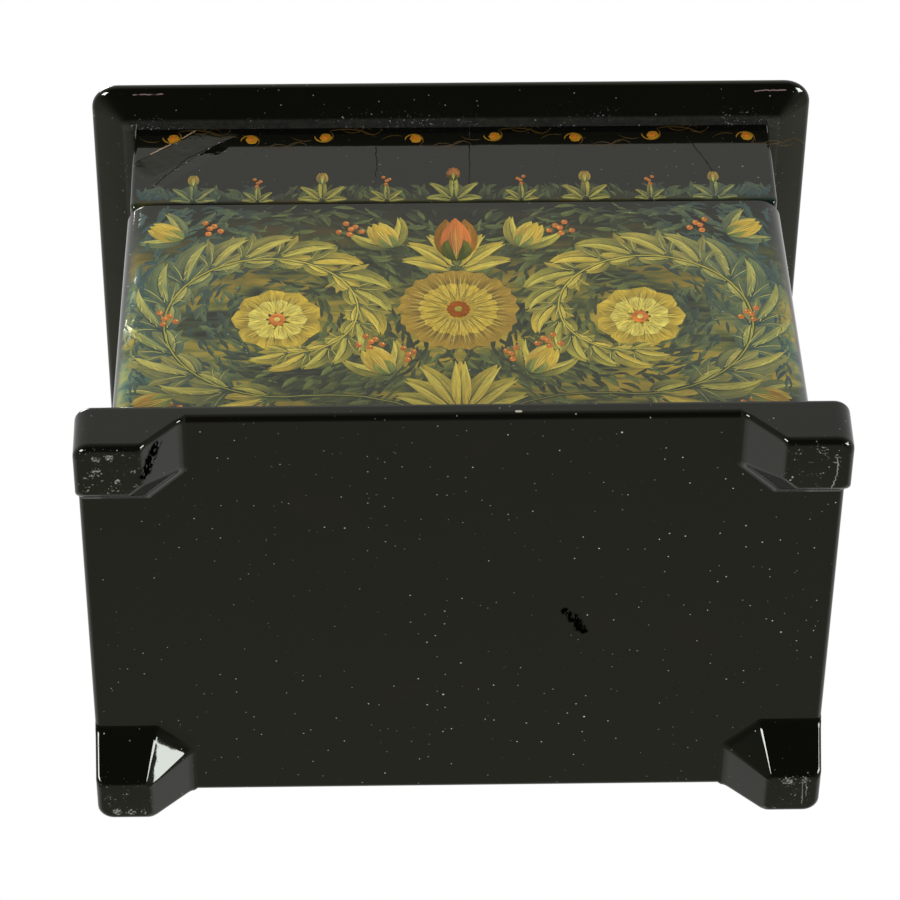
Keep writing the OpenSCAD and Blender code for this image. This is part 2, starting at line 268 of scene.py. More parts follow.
class Nodes:
    """Short words for the nodes that the finishes are mixed from."""

    def __init__(self, tree):
        self.tree = tree
        self.coords = tree.nodes.new("ShaderNodeTexCoord").outputs["Object"]

    def plug(self, socket, value):
        if isinstance(value, bpy.types.NodeSocket):
            self.tree.links.new(value, socket)
        elif value is not None:
            socket.default_value = value

    def math(self, operation, a, b=None, clamp=False):
        node = self.tree.nodes.new("ShaderNodeMath")
        node.operation, node.use_clamp = operation, clamp
        self.plug(node.inputs[0], a)
        self.plug(node.inputs[1], b)
        return node.outputs[0]

    def times(self, first, *others):
        """The product of several values."""
        for value in others:
            first = self.math("MULTIPLY", first, value)
        return first

    def highest(self, values):
        """The highest of several values."""
        first, *others = values
        for value in others:
            first = self.math("MAXIMUM", first, value)
        return first

    def place(self, scale=(1, 1, 1), shift=(0, 0, 0)):
        """Object coordinates in millimetres, stretched and shifted."""
        node = self.tree.nodes.new("ShaderNodeMapping")
        node.inputs["Scale"].default_value = [s / MM for s in scale]
        node.inputs["Location"].default_value = shift
        self.plug(node.inputs["Vector"], self.coords)
        return node.outputs[0]

    def axis(self, vector, name):
        node = self.tree.nodes.new("ShaderNodeSeparateXYZ")
        self.plug(node.inputs[0], vector)
        return node.outputs[name]

    def noise(self, vector, size, detail=3.0, rough=0.5, twist=0.0):
        node = self.tree.nodes.new("ShaderNodeTexNoise")
        self.plug(node.inputs["Vector"], vector)
        node.inputs["Scale"].default_value = 1 / size
        node.inputs["Detail"].default_value = detail
        node.inputs["Roughness"].default_value = rough
        node.inputs["Distortion"].default_value = twist
        return node.outputs["Fac"]

    def cells(self, vector, size):
        """Distance to the nearest of many scattered points, and that point's own chance number."""
        node = self.tree.nodes.new("ShaderNodeTexVoronoi")
        self.plug(node.inputs["Vector"], vector)
        node.inputs["Scale"].default_value = 1 / size
        return node.outputs["Distance"], self.axis(node.outputs["Color"], "X")

    def span(self, value, low, high, to_low=0.0, to_high=1.0):
        """Maps a value smoothly from one span to another."""
        node = self.tree.nodes.new("ShaderNodeMapRange")
        node.interpolation_type = "SMOOTHSTEP"
        for socket, given in zip(node.inputs, (value, low, high, to_low, to_high)):
            self.plug(socket, given)
        return node.outputs[0]

    def mix(self, factor, a, b):
        node = self.tree.nodes.new("ShaderNodeMix")
        node.data_type = "RGBA"
        self.plug(node.inputs["Factor"], factor)
        for socket, value in (("A", a), ("B", b)):
            target = next(s for s in node.inputs if s.name == socket and s.type == "RGBA")
            self.plug(target, (*value, 1) if isinstance(value, tuple) else value)
        return next(s for s in node.outputs if s.type == "RGBA")

    def ramp(self, factor, stops):
        node = self.tree.nodes.new("ShaderNodeValToRGB")
        elements = node.color_ramp.elements
        while len(elements) < len(stops):
            elements.new(0.5)
        for element, (place, colour) in zip(elements, stops):
            element.position, element.color = place, (*colour, 1)
        self.plug(node.inputs[0], factor)
        return node.outputs["Color"]

    def vector(self, operation, a, b=None, scale=None):
        node = self.tree.nodes.new("ShaderNodeVectorMath")
        node.operation = operation
        self.plug(node.inputs[0], a)
        if b is not None:
            self.plug(node.inputs[1], b)
        if scale is not None:
            self.plug(node.inputs["Scale"], scale)
        return node.outputs["Value" if operation in ("LENGTH", "DOT_PRODUCT") else "Vector"]

    def from_line(self, at, start, end):
        """Distance in millimetres from the straight line between two points."""
        start, end = Vector(start), Vector(end)
        reach = end - start
        away = self.vector("SUBTRACT", at, start)
        along = self.vector("DOT_PRODUCT", away, reach)
        share = self.math("DIVIDE", along, reach.length_squared, clamp=True)
        nearest = self.vector("SCALE", reach, scale=share)
        return self.vector("LENGTH", self.vector("SUBTRACT", away, nearest))

    def wavering(self, size, by, kept):
        """Object coordinates with one axis left out, made to waver by up to a few tenths of a millimetre."""
        node = self.tree.nodes.new("ShaderNodeTexNoise")
        self.plug(node.inputs["Vector"], self.place())
        node.inputs["Scale"].default_value = 1 / size
        wobble = self.vector("SUBTRACT", node.outputs["Color"], (0.5, 0.5, 0.5))
        bent = self.vector("ADD", self.place(), self.vector("SCALE", wobble, scale=by))
        return self.vector("MULTIPLY", bent, kept)

    def bump(self, height, depth_mm, normal=None):
        node = self.tree.nodes.new("ShaderNodeBump")
        node.inputs["Distance"].default_value = depth_mm * MM
        self.plug(node.inputs["Height"], height)
        self.plug(node.inputs["Normal"], normal)
        return node.outputs[0]


BLACK = (0.0022, 0.0021, 0.0015)
LIGHTER_BLACK = tuple(1.35 * c for c in BLACK)
WARM_BLACK = (0.0040, 0.0026, 0.0017)
SMEAR_BLACK = (0.0006, 0.0006, 0.0003)
# Dark of the cracks, also of one painted reflection line
CRACK_AND_REFLECTION_BLACK = (0.002, 0.002, 0.002)
DUST_FILM_AND_SHEEN_GREY = (0.013, 0.013, 0.010)
DUST = (0.5, 0.48, 0.43)
SCUFF = (0.20, 0.20, 0.165)
RUB = (0.22, 0.15, 0.13)
CHIP = (0.50, 0.45, 0.36)
# The lifted ridge: bare ground with a painted highlight
BARE_RIDGE_AND_HIGHLIGHT = (0.44, 0.30, 0.18)
VARNISH_TINT = (1.0, 1.0, 0.86, 1.0)

# The two sorts of specks: spacing, radius, and the share of places that have one
SPECKS = ((1.6, 0.19, 0.95), (4.6, 0.26, 0.8))
# How deep the lacquer's unevenness is, from the finest to the broadest
PEEL_DEPTH, SPECK_DEPTH, HAND_DEPTH = 0.006, 0.02, 0.05


def dust(n):
    """Small pale specks caught in the lacquer, some bright and most faint."""
    sorts = []
    for number, (size, radius, share) in enumerate(SPECKS):
        distance, chance = n.cells(n.place(shift=(31 * number,) * 3), size)
        near = n.span(distance, radius / size * 0.3, radius / size, 1.0, 0.0)
        bright = n.math("POWER", n.span(chance, 0.0, share, 1.0, 0.0), 3.0)
        sorts.append(n.times(near, bright))
    gathered = n.span(n.noise(n.place(shift=(4, 4, 4)), 26, 2), 0.38, 0.62, 0.3, 1.0)
    return n.times(n.highest(sorts), gathered)


def lacquer_surface(n, shader, colour, specks, wear=None, gloss=0.03, relief=None):
    """Joins colour, gloss and the uneven hand-laid surface of a lacquer."""
    hand = n.noise(n.place(), 14, 2)
    peel = n.noise(n.place(shift=(5, 9, 2)), 2.6, 2)
    rough = n.span(n.noise(n.place(shift=(3, 3, 3)), 9, 4), 0.3, 0.75, gloss, gloss + 0.05)
    rough = n.math("ADD", rough, n.times(specks, 0.35))
    if wear is not None:
        colour = n.mix(wear, colour, SCUFF)
        rough = n.math("ADD", rough, n.times(wear, 0.5), clamp=True)
    relief = n.bump(hand, HAND_DEPTH, n.bump(specks, SPECK_DEPTH, relief))
    n.plug(shader.inputs["Base Color"], colour)
    n.plug(shader.inputs["Roughness"], rough)
    n.plug(shader.inputs["Normal"], n.bump(peel, PEEL_DEPTH, relief))


def start_lacquer(name, ior=1.5):
    """A lacquer's material, the words for its nodes, its shader and its specks."""
    material, tree, shader = start_material(name, IOR=ior, Specular_Tint=VARNISH_TINT)
    n = Nodes(tree)
    return material, n, shader, dust(n)


def black_ground(n):
    return n.mix(n.noise(n.place(), 22, 3), BLACK, LIGHTER_BLACK)


def black_lacquer():
    material, n, shader, specks = start_lacquer("black_lacquer")
    lacquer_surface(n, shader, n.mix(specks, black_ground(n), DUST), specks)
    return material


# Rubs along the board's front edge, as (across, in from the edge) of their ends
NOSE_RUBS = (((-62.4, 1.2), (-56.6, 1.1)), ((59.6, 1.4), (65.7, 1.2)))


def board_lacquer():
    """The lid board's lacquer, with a lighter film in the corner between board and rim: old dust, and a
    painted sheen.
    """
    material, n, shader, specks = start_lacquer("board_lacquer")
    height = n.axis(n.place(), "Z")
    uneven = n.span(n.noise(n.place(), 1.2, 4, 0.6), 0.3, 0.7, 0.55, 1.0)
    # The film lightens the strip next to the rim: partly old dust, partly a painted reflection of the strip's
    # sheen
    film = n.times(n.span(height, BOARD_Z + 0.05, BOARD_Z + 0.35, 1.0, 0.0), uneven)
    grains = n.span(n.noise(n.place(shift=(2, 6, 4)), 0.5, 3, 0.7), 0.62, 0.72)
    corner = n.span(height, BOARD_Z, BOARD_Z + 1.2, 1.0, 0.0)
    patches = n.span(n.noise(n.place(shift=(1, 1, 7)), 9, 2), 0.5, 0.62)
    bent = n.wavering(1.4, 0.5, (1, 1, 0))
    rubs = [n.from_line(bent, *((x, y - BOARD_D, 0) for x, y in rub)) for rub in NOSE_RUBS]
    rubbed = n.highest(n.span(away, 0.03, 0.15, 1.0, 0.0) for away in rubs)
    broken = n.span(n.noise(n.place((0.6, 1, 1)), 1.1, 3), 0.36, 0.5, 0.15, 1.0)
    on_nose = n.span(height, BOARD_Z + NOSE_RISE + 0.4, BOARD_Z + NOSE_RISE + NOSE_R, 0.8, 0.0)
    # Painted sheen and dust: the lighter film along the strip
    ground = n.mix(film, black_ground(n), DUST_FILM_AND_SHEEN_GREY)
    ground = n.mix(n.times(grains, corner, patches, 0.5), ground, DUST)
    ground = n.mix(n.times(rubbed, broken, on_nose), ground, RUB)
    lacquer_surface(n, shader, n.mix(specks, ground, DUST), specks, wear=n.times(film, 0.02))
    return material


# Marks on the bottom and the soles, as (across, deep) in millimetres: smears and scratches from end to end
# with a width, and scuffs with a radius and a strength
SMEARS = (
    ((19.8, 0.6), (23.4, 6.2), 0.85), ((21.3, 2.4), (22.7, 5.0), 1.25),
    ((-55.6, -48.4), (-57.6, -43.2), 1.15),
)
SCRATCHES = (
    ((67.3, -46.4), (67.8, -43.4), 0.1), ((67.8, -43.4), (66.8, -38.3), 0.1),
    ((66.8, 42.1), (67.2, 48.1), 0.08), ((67.7, 42.4), (67.9, 46.0), 0.06),
)
SCUFFS = (
    ((-62.5, -42.1), 1.1, 1.0), ((-63.8, -48.1), 1.5, 0.9), ((-66.3, -47.6), 1.5, 0.8),
    ((-66.2, -44.6), 1.7, 0.75), ((-59.6, -44.6), 0.9, 0.8), ((-59.3, -41.0), 0.9, 0.7),
    ((-68.2, -40.6), 1.4, 0.6), ((59.6, -41.6), 0.35, 1.3), ((60.2, -48.0), 1.2, 0.6),
    ((64.6, -48.4), 1.8, 0.6), ((67.4, -47.0), 0.9, 0.8), ((61.4, -42.6), 1.2, 0.45),
    ((64.2, 41.6), 2.2, 0.85), ((67.4, 41.4), 1.6, 0.8), ((65.2, 45.4), 1.3, 0.5),
    ((-66.8, 48.3), 1.5, 1.0), ((-64.0, 48.5), 1.5, 0.9), ((-61.6, 48.5), 1.2, 0.6),
    ((-68.0, 44.0), 1.3, 0.6),
)
SOLE_WEAR_Z = 1.2

# A small chip in the plate's lower front edge, from end to end, and its radius
EDGE_CHIP = ((9.6, -PLATE_D, PLATE_Z + 1.1), (10.4, -PLATE_D, PLATE_Z + 1.1))
CHIP_R = 0.34

# Where the lacquer lies thick along two edges of one foot's cut corner
BEADS = (((-60.3, 33.1, 5.9), (-61.4, 39.6, 0.1)), ((-59.0, 33.0, 6.9), (-52.8, 37.3, 7.8)))
BEAD_WIDTH, BEAD_RISE = 3.9, 0.3


def sole_wear(n, bent):
    """Grains of wear on the soles, thick where they are scuffed, and the scratches among them."""
    scuffs = [n.span(n.noise(n.place(shift=(8, 3, 0)), 3.2, 2), 0.5, 0.7, 0.0, 0.45)]
    for place, radius, strength in SCUFFS:
        away = n.vector("LENGTH", n.vector("SUBTRACT", bent, (*place, 0)))
        scuffs.append(n.span(away, radius * 0.3, radius, strength, 0.0))
    grain = n.noise(n.place(), 0.55, 3, 0.7)
    marks = [n.span(n.math("ADD", grain, n.times(n.highest(scuffs), 0.22)), 0.66, 0.76)]
    for start, end, width in SCRATCHES:
        away = n.from_line(bent, (*start, 0), (*end, 0))
        marks.append(n.span(away, width * 0.5, width * 1.4, 0.8, 0.0))
    on_sole = n.span(n.axis(n.place(), "Z"), 0.25, SOLE_WEAR_Z, 1.0, 0.0)
    return n.math("MULTIPLY", n.highest(marks), on_sole, clamp=True)


def smears(n, bent):
    """Dark streaky smears."""
    marks = []
    for start, end, width in SMEARS:
        away = n.from_line(bent, (*start, 0), (*end, 0))
        marks.append(n.span(away, width * 0.6, width * 1.3, 1.0, 0.0))
    streaks = n.span(n.noise(n.place((2.2, 0.7, 1)), 1.0, 2), 0.36, 0.46)
    return n.times(n.highest(marks), streaks)


def beads(n):
    """How thick the lacquer lies along the BEADS, from 0 to 1."""
    uneven = n.times(n.noise(n.place(shift=(1, 7, 4)), 3.6, 0), 0.9)
    runs = []
    for start, end in BEADS:
        away = n.math("ADD", n.from_line(n.place(), start, end), uneven)
        near = n.math("SUBTRACT", 1.0, n.math("DIVIDE", away, BEAD_WIDTH), clamp=True)
        runs.append(n.math("POWER", near, 2.0))
    return n.highest(runs)


def base_lacquer():
    """The plate's and the feet's lacquer, where handling and the table have dulled and marked it."""
    material, n, shader, specks = start_lacquer("base_lacquer", 1.4)
    bent = n.wavering(1.1, 0.9, (1, 1, 0))
    smear = smears(n, bent)
    n.plug(shader.inputs["Specular IOR Level"], n.span(smear, 0.0, 1.0, 0.5, 0.0))
    warm = n.span(n.noise(n.place(shift=(6, 2, 9)), 15, 2), 0.56, 0.72, 0.0, 0.7)
    chip = n.span(n.from_line(n.place(), *EDGE_CHIP), CHIP_R * 0.3, CHIP_R, 1.0, 0.0)
    ground = black_ground(n)
    for share, colour in ((warm, WARM_BLACK), (smear, SMEAR_BLACK), (chip, CHIP), (specks, DUST)):
        ground = n.mix(share, ground, colour)
    wear = sole_wear(n, bent)
    lacquer_surface(n, shader, ground, specks, wear, 0.015, n.bump(beads(n), BEAD_RISE))
    return material


# Washes under the ornament, as stops of (tone, colour), where they turn cool towards the ends of the wall,
# and how far their upper edge drifts up and down
WARM_WASH = (
    (0.38, (0.014, 0.016, 0.008)),
    (0.45, (0.07, 0.09, 0.025)),
    (0.50, (0.22, 0.22, 0.035)),
    (0.55, (0.48, 0.34, 0.03)),
    (0.64, (0.68, 0.48, 0.05)),
)
COOL_WASH = (
    (0.40, (0.012, 0.02, 0.022)),
    (0.47, (0.035, 0.1, 0.095)),
    (0.54, (0.09, 0.2, 0.12)),
    (0.62, (0.3, 0.34, 0.1)),
)
WASH_TURNS_COOL = (38, 60)
WASH_DRIFT = 9.0


def painted_lacquer(name, front_y, glow_low, glow_high, strength, aged=None):
    """Black lacquer with brushed washes of ochre, green and teal on its front, under the ornament."""
    material, n, shader, specks = start_lacquer(name)
    at = n.place()
    streaks = n.noise(n.place((0.16, 1, 1)), 2.4, 5, 0.6, 0.3)
    clouds = n.noise(n.place((0.6, 1, 1), (7, 0, 3)), 12, 3, 0.5, 0.6)
    tone = n.math("ADD", n.times(streaks, 0.45), n.times(clouds, 0.55))
    out = n.math("ABSOLUTE", n.axis(at, "X"))
    ends = n.times(n.span(out, *WASH_TURNS_COOL), n.span(n.noise(n.place(), 9, 3), 0.35, 0.6))
    wash = n.mix(ends, n.ramp(tone, WARM_WASH), n.ramp(tone, COOL_WASH))
    low = n.math("ADD", n.axis(at, "Z"), n.times(clouds, WASH_DRIFT))
    glow = n.span(low, glow_low + WASH_DRIFT / 2, glow_high + WASH_DRIFT / 2, strength, 0.0)
    front = n.span(n.axis(at, "Y"), front_y, front_y + 1.6, 1.0, 0.0)
    colour = n.mix(n.times(glow, front), black_ground(n), wash)
    relief = None
    if aged:
        cracks_and_painted_reflection, ridge_bare_and_highlight, relief = aged(n)
        # Painted reflection in the crack lines, and a painted highlight on the bare ridge
        colour = n.mix(ridge_bare_and_highlight, n.mix(cracks_and_painted_reflection, colour, CRACK_AND_REFLECTION_BLACK), BARE_RIDGE_AND_HIGHLIGHT)
        n.plug(shader.inputs["Specular IOR Level"], n.span(cracks_and_painted_reflection, 0.0, 1.0, 0.5, 0.1))
    lacquer_surface(n, shader, n.mix(specks, colour, DUST), specks, relief=relief)
    return material


# Hairlines in the rim's front, as (across, above the rim's lower edge) of their ends and bends: three cracks,
# and last a painted reflection of the dark band along the sunk strip's edge. Then the other edges of the
# cracked strip
HAIRLINES_AND_PAINTED_REFLECTION = (
    ((-15.0, 17.1), (-14.9, 12.0), (-15.1, 7.8)),
    ((3.6, 22.9), (3.2, 11.0), (3.0, 0.0)),
    ((46.1, 20.2), (46.7, 18.1), (48.3, 14.7), (51.1, 7.5), (51.2, 1.6)),
    ((-46.7, 17.8), (-52.0, 13.9), (-53.6, 11.8), (-58.5, 5.3)),
)
RIDGE_LINE = ((-50.4, 22.4), (-59.1, 15.3))
LIFTED_EDGE = ((-46.0, 25.0), (-61.4, 13.2))
LIFTED_WIDTH, LIFTED_BY = 5.4, 0.8
SUNK_EDGE = ((-46.2, 18.2), (-58.5, 6.6))
SUNK_WIDTH, SUNK_BY = 2.4, 0.15
RIM_SWELL, CRACK_DEPTH = 0.022, 0.05


def aged_rim(n):
    """Cracks in the rim's front: thin dark hairlines, the last a painted reflection of the dark band, and a
    strip at the left whose upper edge has lifted, its ridge bare and with a painted highlight.
    """
    bent = n.wavering(2.4, 0.9, (1, 0, 1))
    front = n.span(n.axis(n.place(), "Y"), -RIM_D + 0.05, -RIM_D + 0.3, 1.0, 0.0)

    def line(ends, inner, outer, strength):
        away = n.from_line(bent, *((x, 0, RIM_Z + z) for x, z in ends))
        return n.span(away, inner, outer, strength, 0.0)

    parts = [ends for hairline in HAIRLINES_AND_PAINTED_REFLECTION for ends in zip(hairline, hairline[1:])]
    cracks_and_painted_reflection = n.times(n.highest(line(ends, 0.03, 0.12, 0.75) for ends in parts), front)
    ridge_bare_and_highlight = n.times(line(RIDGE_LINE, 0.05, 0.22, 1.0), front)
    lifted = beside_edge(n, bent, LIFTED_EDGE, LIFTED_WIDTH, 3.0)
    sunk = beside_edge(n, bent, SUNK_EDGE, SUNK_WIDTH, 2.0)
    relief = n.bump(n.axis(n.place(), "Z"), RIM_SWELL)
    relief = n.bump(n.times(lifted, front), LIFTED_BY, relief)
    relief = n.bump(n.times(sunk, front), -SUNK_BY, relief)
    return cracks_and_painted_reflection, ridge_bare_and_highlight, n.bump(cracks_and_painted_reflection, CRACK_DEPTH, relief)


def beside_edge(n, at, edge, width, fade):
    """One at an edge, falling to nothing at a distance below it, and fading past its lower end."""
    (x0, z0), (x1, z1) = edge
    ahead = Vector((x1 - x0, 0, z1 - z0)).normalized()
    below = Vector((-ahead.z, 0, ahead.x))
    if below.z > 0:
        below = -below
    away = n.vector("SUBTRACT", at, (x0, 0, RIM_Z + z0))
    down = n.vector("DOT_PRODUCT", away, below)
    along = n.vector("DOT_PRODUCT", away, ahead)
    slope = n.math("SUBTRACT", 1.0, n.math("DIVIDE", down, width), clamp=True)
    length = (Vector((x1, z1)) - Vector((x0, z0))).length
    upper_end = n.span(along, -fade, 0.0)
    lower_end = n.span(along, length - 1.0, length - 1.0 + fade, 1.0, 0.0)
    return n.times(slope, n.span(down, -0.12, 0.0), lower_end, upper_end)


def red_lacquer():
    material, n, shader, specks = start_lacquer("red_lacquer")
    brushed = n.noise(n.place((0.3, 1.5, 3)), 6, 4, 0.6)
    colour = n.ramp(brushed, ((0.25, (0.24, 0.012, 0.008)), (0.7, (0.38, 0.024, 0.014))))
    lacquer_surface(n, shader, colour, n.times(specks, 0.4), gloss=0.12)
    return material


# Brass from its darkest to its brightest, as stops of (tarnish, colour)
BRASS_TONES = ((0.3, (0.34, 0.2, 0.07)), (0.5, (0.62, 0.42, 0.16)), (0.75, (0.75, 0.55, 0.25)))


def aged_brass():
    material, tree, shader = start_material("aged_brass", Metallic=1.0)
    n = Nodes(tree)
    tarnish = n.noise(n.place(), 1.6, 5, 0.6)
    colour = n.ramp(tarnish, BRASS_TONES)
    n.plug(shader.inputs["Base Color"], colour)
    n.plug(shader.inputs["Roughness"], n.span(tarnish, 0.3, 0.7, 0.42, 0.26))
    scratches = n.noise(n.place((6, 0.4, 0.4)), 1.2, 4)
    n.plug(shader.inputs["Normal"], n.bump(scratches, 0.008))
    return material


lacquer = black_lacquer()
dulled = base_lacquer()
wall_ground = painted_lacquer("painted_wall", -BODY_D + 1.4, FLOOR_Z + 24, SEAM_Z + 2, 0.7)
rim_ground = painted_lacquer("painted_rim", -RIM_D + 0.3, RIM_Z - 9, RIM_Z + 5, 0.58, aged_rim)
board_black = board_lacquer()
red = red_lacquer()
brass = aged_brass()


# Brushwork


def towards(heading):
    """A step of length one in a heading, in degrees."""
    angle = math.radians(heading)
    return Vector((math.cos(angle), math.sin(angle)))


def sweep(start, heading, length, turn=0.0, steps=7):
    """A path that starts at a point and a heading in degrees, and turns as it goes."""
    path = [Vector(start)]
    for step in range(steps):
        path.append(path[-1] + towards(heading + turn * (step + 0.5) / steps) * length / steps)
    return path


class Brushwork:
    """Brush strokes on a flat, in millimetres across from its middle and up from its lower edge.

    The body of the paint is how little the black ground shows through it, from 0 to 1.
    """

    NUMBERS = ("half", "belly", "blunt", "lift", "along", "chance", "stroke")

    def __init__(self, name, seed, mirrored=True, body=1.0):
        self.name, self.random, self.mirrored = name, random.Random(seed), mirrored
        self.body = body
        self.points, self.edges, self.count = [], [], 0
        self.numbers = {key: [] for key in self.NUMBERS}
        self.paints = {"root_paint": [], "tip_paint": []}

    def stroke(self, path, half, root, tip=None, belly=1.0, blunt=0.8, lift=0):
        """Lays one stroke, and its mirror image on the other side unless it lies in the middle."""
        sides = (1, -1) if self.mirrored and abs(path[0].x) + abs(path[-1].x) > 0.02 else (1,)
        for side in sides:
            first = len(self.points)
            chance = self.random.random()
            for k, point in enumerate(path):
                self.points.append((point.x * side, point.y, 0))
                given = (half, belly, blunt, lift, k / (len(path) - 1), chance, self.count)
                for key, value in zip(self.NUMBERS, given):
                    self.numbers[key].append(value)
                self.paints["root_paint"].append((*(c * self.body for c in root), 1))
                self.paints["tip_paint"].append((*(c * self.body for c in tip or root), 1))
            self.edges += [(first + k, first + k + 1) for k in range(len(path) - 1)]
            self.count += 1

    def dot(self, at, radius, paint, lift=0):
        path = [Vector(at) + Vector((radius * 0.95 * share, 0)) for share in (-1, -0.6, 0, 0.6, 1)]
        self.stroke(path, radius, paint, blunt=0.5, lift=lift)

    def lay(self, place, thickness=0.012):
        """Turns the strokes into thin raised paint, put in place by a function of (across, up, out)."""
        mesh = bpy.data.meshes.new(self.name)
        mesh.from_pydata(self.points, self.edges, [])
        for key, values in self.numbers.items():
            mesh.attributes.new(key, "FLOAT", "POINT").data.foreach_set("value", values)
        for key, values in self.paints.items():
            flat = [c for paint in values for c in paint]
            mesh.attributes.new(key, "FLOAT_COLOR", "POINT").data.foreach_set("color", flat)
        piece = bpy.data.objects.new(self.name, mesh)
        bpy.context.scene.collection.objects.link(piece)
        brush = piece.modifiers.new("brush", "NODES")
        brush.node_group = brush_tree
        given = {"Thickness": thickness, "Paint": stroke_paint}
        for socket in brush_tree.interface.items_tree:
            if socket.name in given:
                brush[socket.identifier] = given[socket.name]
        evaluated = piece.evaluated_get(bpy.context.evaluated_depsgraph_get())
        result = bpy.data.meshes.new_from_object(evaluated)
        piece.modifiers.clear()
        piece.data = result
        bpy.data.meshes.remove(mesh)
        result.name = self.name
        spread_strokes(result, self.count)
        for vertex in result.vertices:
            vertex.co = Vector(place(*vertex.co)) * MM
        result.set_sharp_from_angle(angle=math.radians(60))
        return piece


def spread_strokes(mesh, count):
    """Lays every stroke in its own cell of the piece's map."""
    cells = math.ceil(math.sqrt(count))
    values = {}
    for key in ("along", "across", "stroke"):
        values[key] = np.empty(len(mesh.vertices), np.float32)
        mesh.attributes[key].data.foreach_get("value", values[key])
    corner = np.empty(len(mesh.loops), np.int32)
    mesh.loops.foreach_get("vertex_index", corner)
    number = np.rint(values["stroke"])
    x = (number % cells + 0.06 + 0.88 * values["along"]) / cells
    y = (number // cells + 0.5 + 0.44 * values["across"]) / cells
    layer = mesh.uv_layers.new(name="OFBake")
    layer.uv.foreach_set("vector", np.stack([x[corner], y[corner]], 1).astype(np.float32).ravel())


def make_brush_tree():
    """Geometry nodes that give each path its swelling and tapering band of paint."""
    tree = bpy.data.node_groups.new("brush", "GeometryNodeTree")
    tree.interface.new_socket("Paths", in_out="INPUT", socket_type="NodeSocketGeometry")
    tree.interface.new_socket("Thickness", in_out="INPUT", socket_type="NodeSocketFloat")
    tree.interface.new_socket("Paint", in_out="INPUT", socket_type="NodeSocketMaterial")
    tree.interface.new_socket("Strokes", in_out="OUTPUT", socket_type="NodeSocketGeometry")
    links = tree.links

    def add(kind, settings=(), **sockets):
        node = tree.nodes.new(kind)
        for key, value in dict(settings).items():
            setattr(node, key, value)
        for key, value in sockets.items():
            socket = node.inputs[int(key[1:])] if key[1:].isdigit() else node.inputs[key.replace("_", " ")]
            if isinstance(value, bpy.types.NodeSocket):
                links.new(value, socket)
            else:
                socket.default_value = value
        return node

    def calc(operation, a, b=0.5):
        return add("ShaderNodeMath", {"operation": operation}, i0=a, i1=b).outputs[0]

    def named(name):
        return add("GeometryNodeInputNamedAttribute", {"data_type": "FLOAT"}, Name=name).outputs["Attribute"]

    def store(geometry, name, value):
        node = add("GeometryNodeStoreNamedAttribute", {"data_type": "FLOAT", "domain": "POINT"}, Name=name)
        links.new(geometry, node.inputs["Geometry"])
        links.new(value, node.inputs["Value"])
        return node.outputs["Geometry"]

    given = tree.nodes.new("NodeGroupInput").outputs
    swell = calc("SINE", calc("MULTIPLY", calc("POWER", named("along"), named("belly")), math.pi))
    swell = calc("MAXIMUM", calc("POWER", calc("MAXIMUM", swell, 0.0), named("blunt")), 0.05)
    width = calc("MULTIPLY", swell, named("half"))
    curves = add("GeometryNodeMeshToCurve", Mesh=given["Paths"]).outputs["Curve"]
    curves = store(curves, "width", width)
    curves = add("GeometryNodeSetCurveNormal", {"mode": "Z_UP"}, Curve=curves).outputs["Curve"]
    ring = add("GeometryNodeCurvePrimitiveCircle", {"mode": "RADIUS"}, Resolution=4, Radius=1.0)
    ring_place = add("ShaderNodeSeparateXYZ", i0=add("GeometryNodeInputPosition").outputs[0])
    ring = store(ring.outputs["Curve"], "across", ring_place.outputs["X"])
    ring = store(ring, "crown", ring_place.outputs["Y"])
    band = add("GeometryNodeCurveToMesh", Curve=curves, Scale=named("width"), Fill_Caps=True)
    links.new(ring, band.inputs["Profile Curve"])
    place = add("ShaderNodeSeparateXYZ", i0=add("GeometryNodeInputPosition").outputs[0])
    raised = calc("MULTIPLY", calc("MULTIPLY", named("crown"), given["Thickness"]), swell)
    height = calc("ADD", raised, named("lift"))
    flat = add("ShaderNodeCombineXYZ", X=place.outputs["X"], Y=place.outputs["Y"], Z=height)
    laid = add("GeometryNodeSetPosition", Geometry=band.outputs["Mesh"], Position=flat.outputs[0])
    laid = add("GeometryNodeSetShadeSmooth", Geometry=laid.outputs["Geometry"])
    laid = add("GeometryNodeRealizeInstances", Geometry=laid.outputs["Geometry"])
    laid = add("GeometryNodeSetMaterial", Geometry=laid.outputs["Geometry"], Material=given["Paint"])
    links.new(laid.outputs["Geometry"], tree.nodes.new("NodeGroupOutput").inputs["Strokes"])
    return tree


def paint_of_strokes():
    """Paint that runs from the root colour to the tip colour, streaked along the stroke, under lacquer."""
    material, n, shader, specks = start_lacquer("brush_paint")

    def stored(name, output="Fac"):
        node = n.tree.nodes.new("ShaderNodeAttribute")
        node.attribute_name = name
        return node.outputs[output]

    across, along = stored("across"), stored("along")
    streak_at = n.tree.nodes.new("ShaderNodeCombineXYZ")
    n.plug(streak_at.inputs["X"], n.times(across, stored("half"), 2.6))
    n.plug(streak_at.inputs["Y"], n.times(along, 2.2))
    n.plug(streak_at.inputs["Z"], n.times(stored("chance"), 90.0))
    streak = n.noise(streak_at.outputs[0], 1.0, 3, 0.6)
    wash = n.math("SUBTRACT", n.noise(n.place(shift=(4, 4, 4)), 3.5, 2), 0.5)
    change = n.math("ADD", along, n.times(wash, 0.9), clamp=True)
    colour = n.mix(change, stored("root_paint", "Color"), stored("tip_paint", "Color"))
    shade = n.times(n.span(streak, 0.25, 0.75, 0.62, 1.25), n.span(across, -1.0, 1.0, 0.82, 1.12))
    colour = n.vector("SCALE", colour, scale=shade)
    lacquer_surface(n, shader, n.mix(specks, colour, DUST), specks, gloss=0.1)
    return material


brush_tree = make_brush_tree()
stroke_paint = paint_of_strokes()


# Base plate and feet


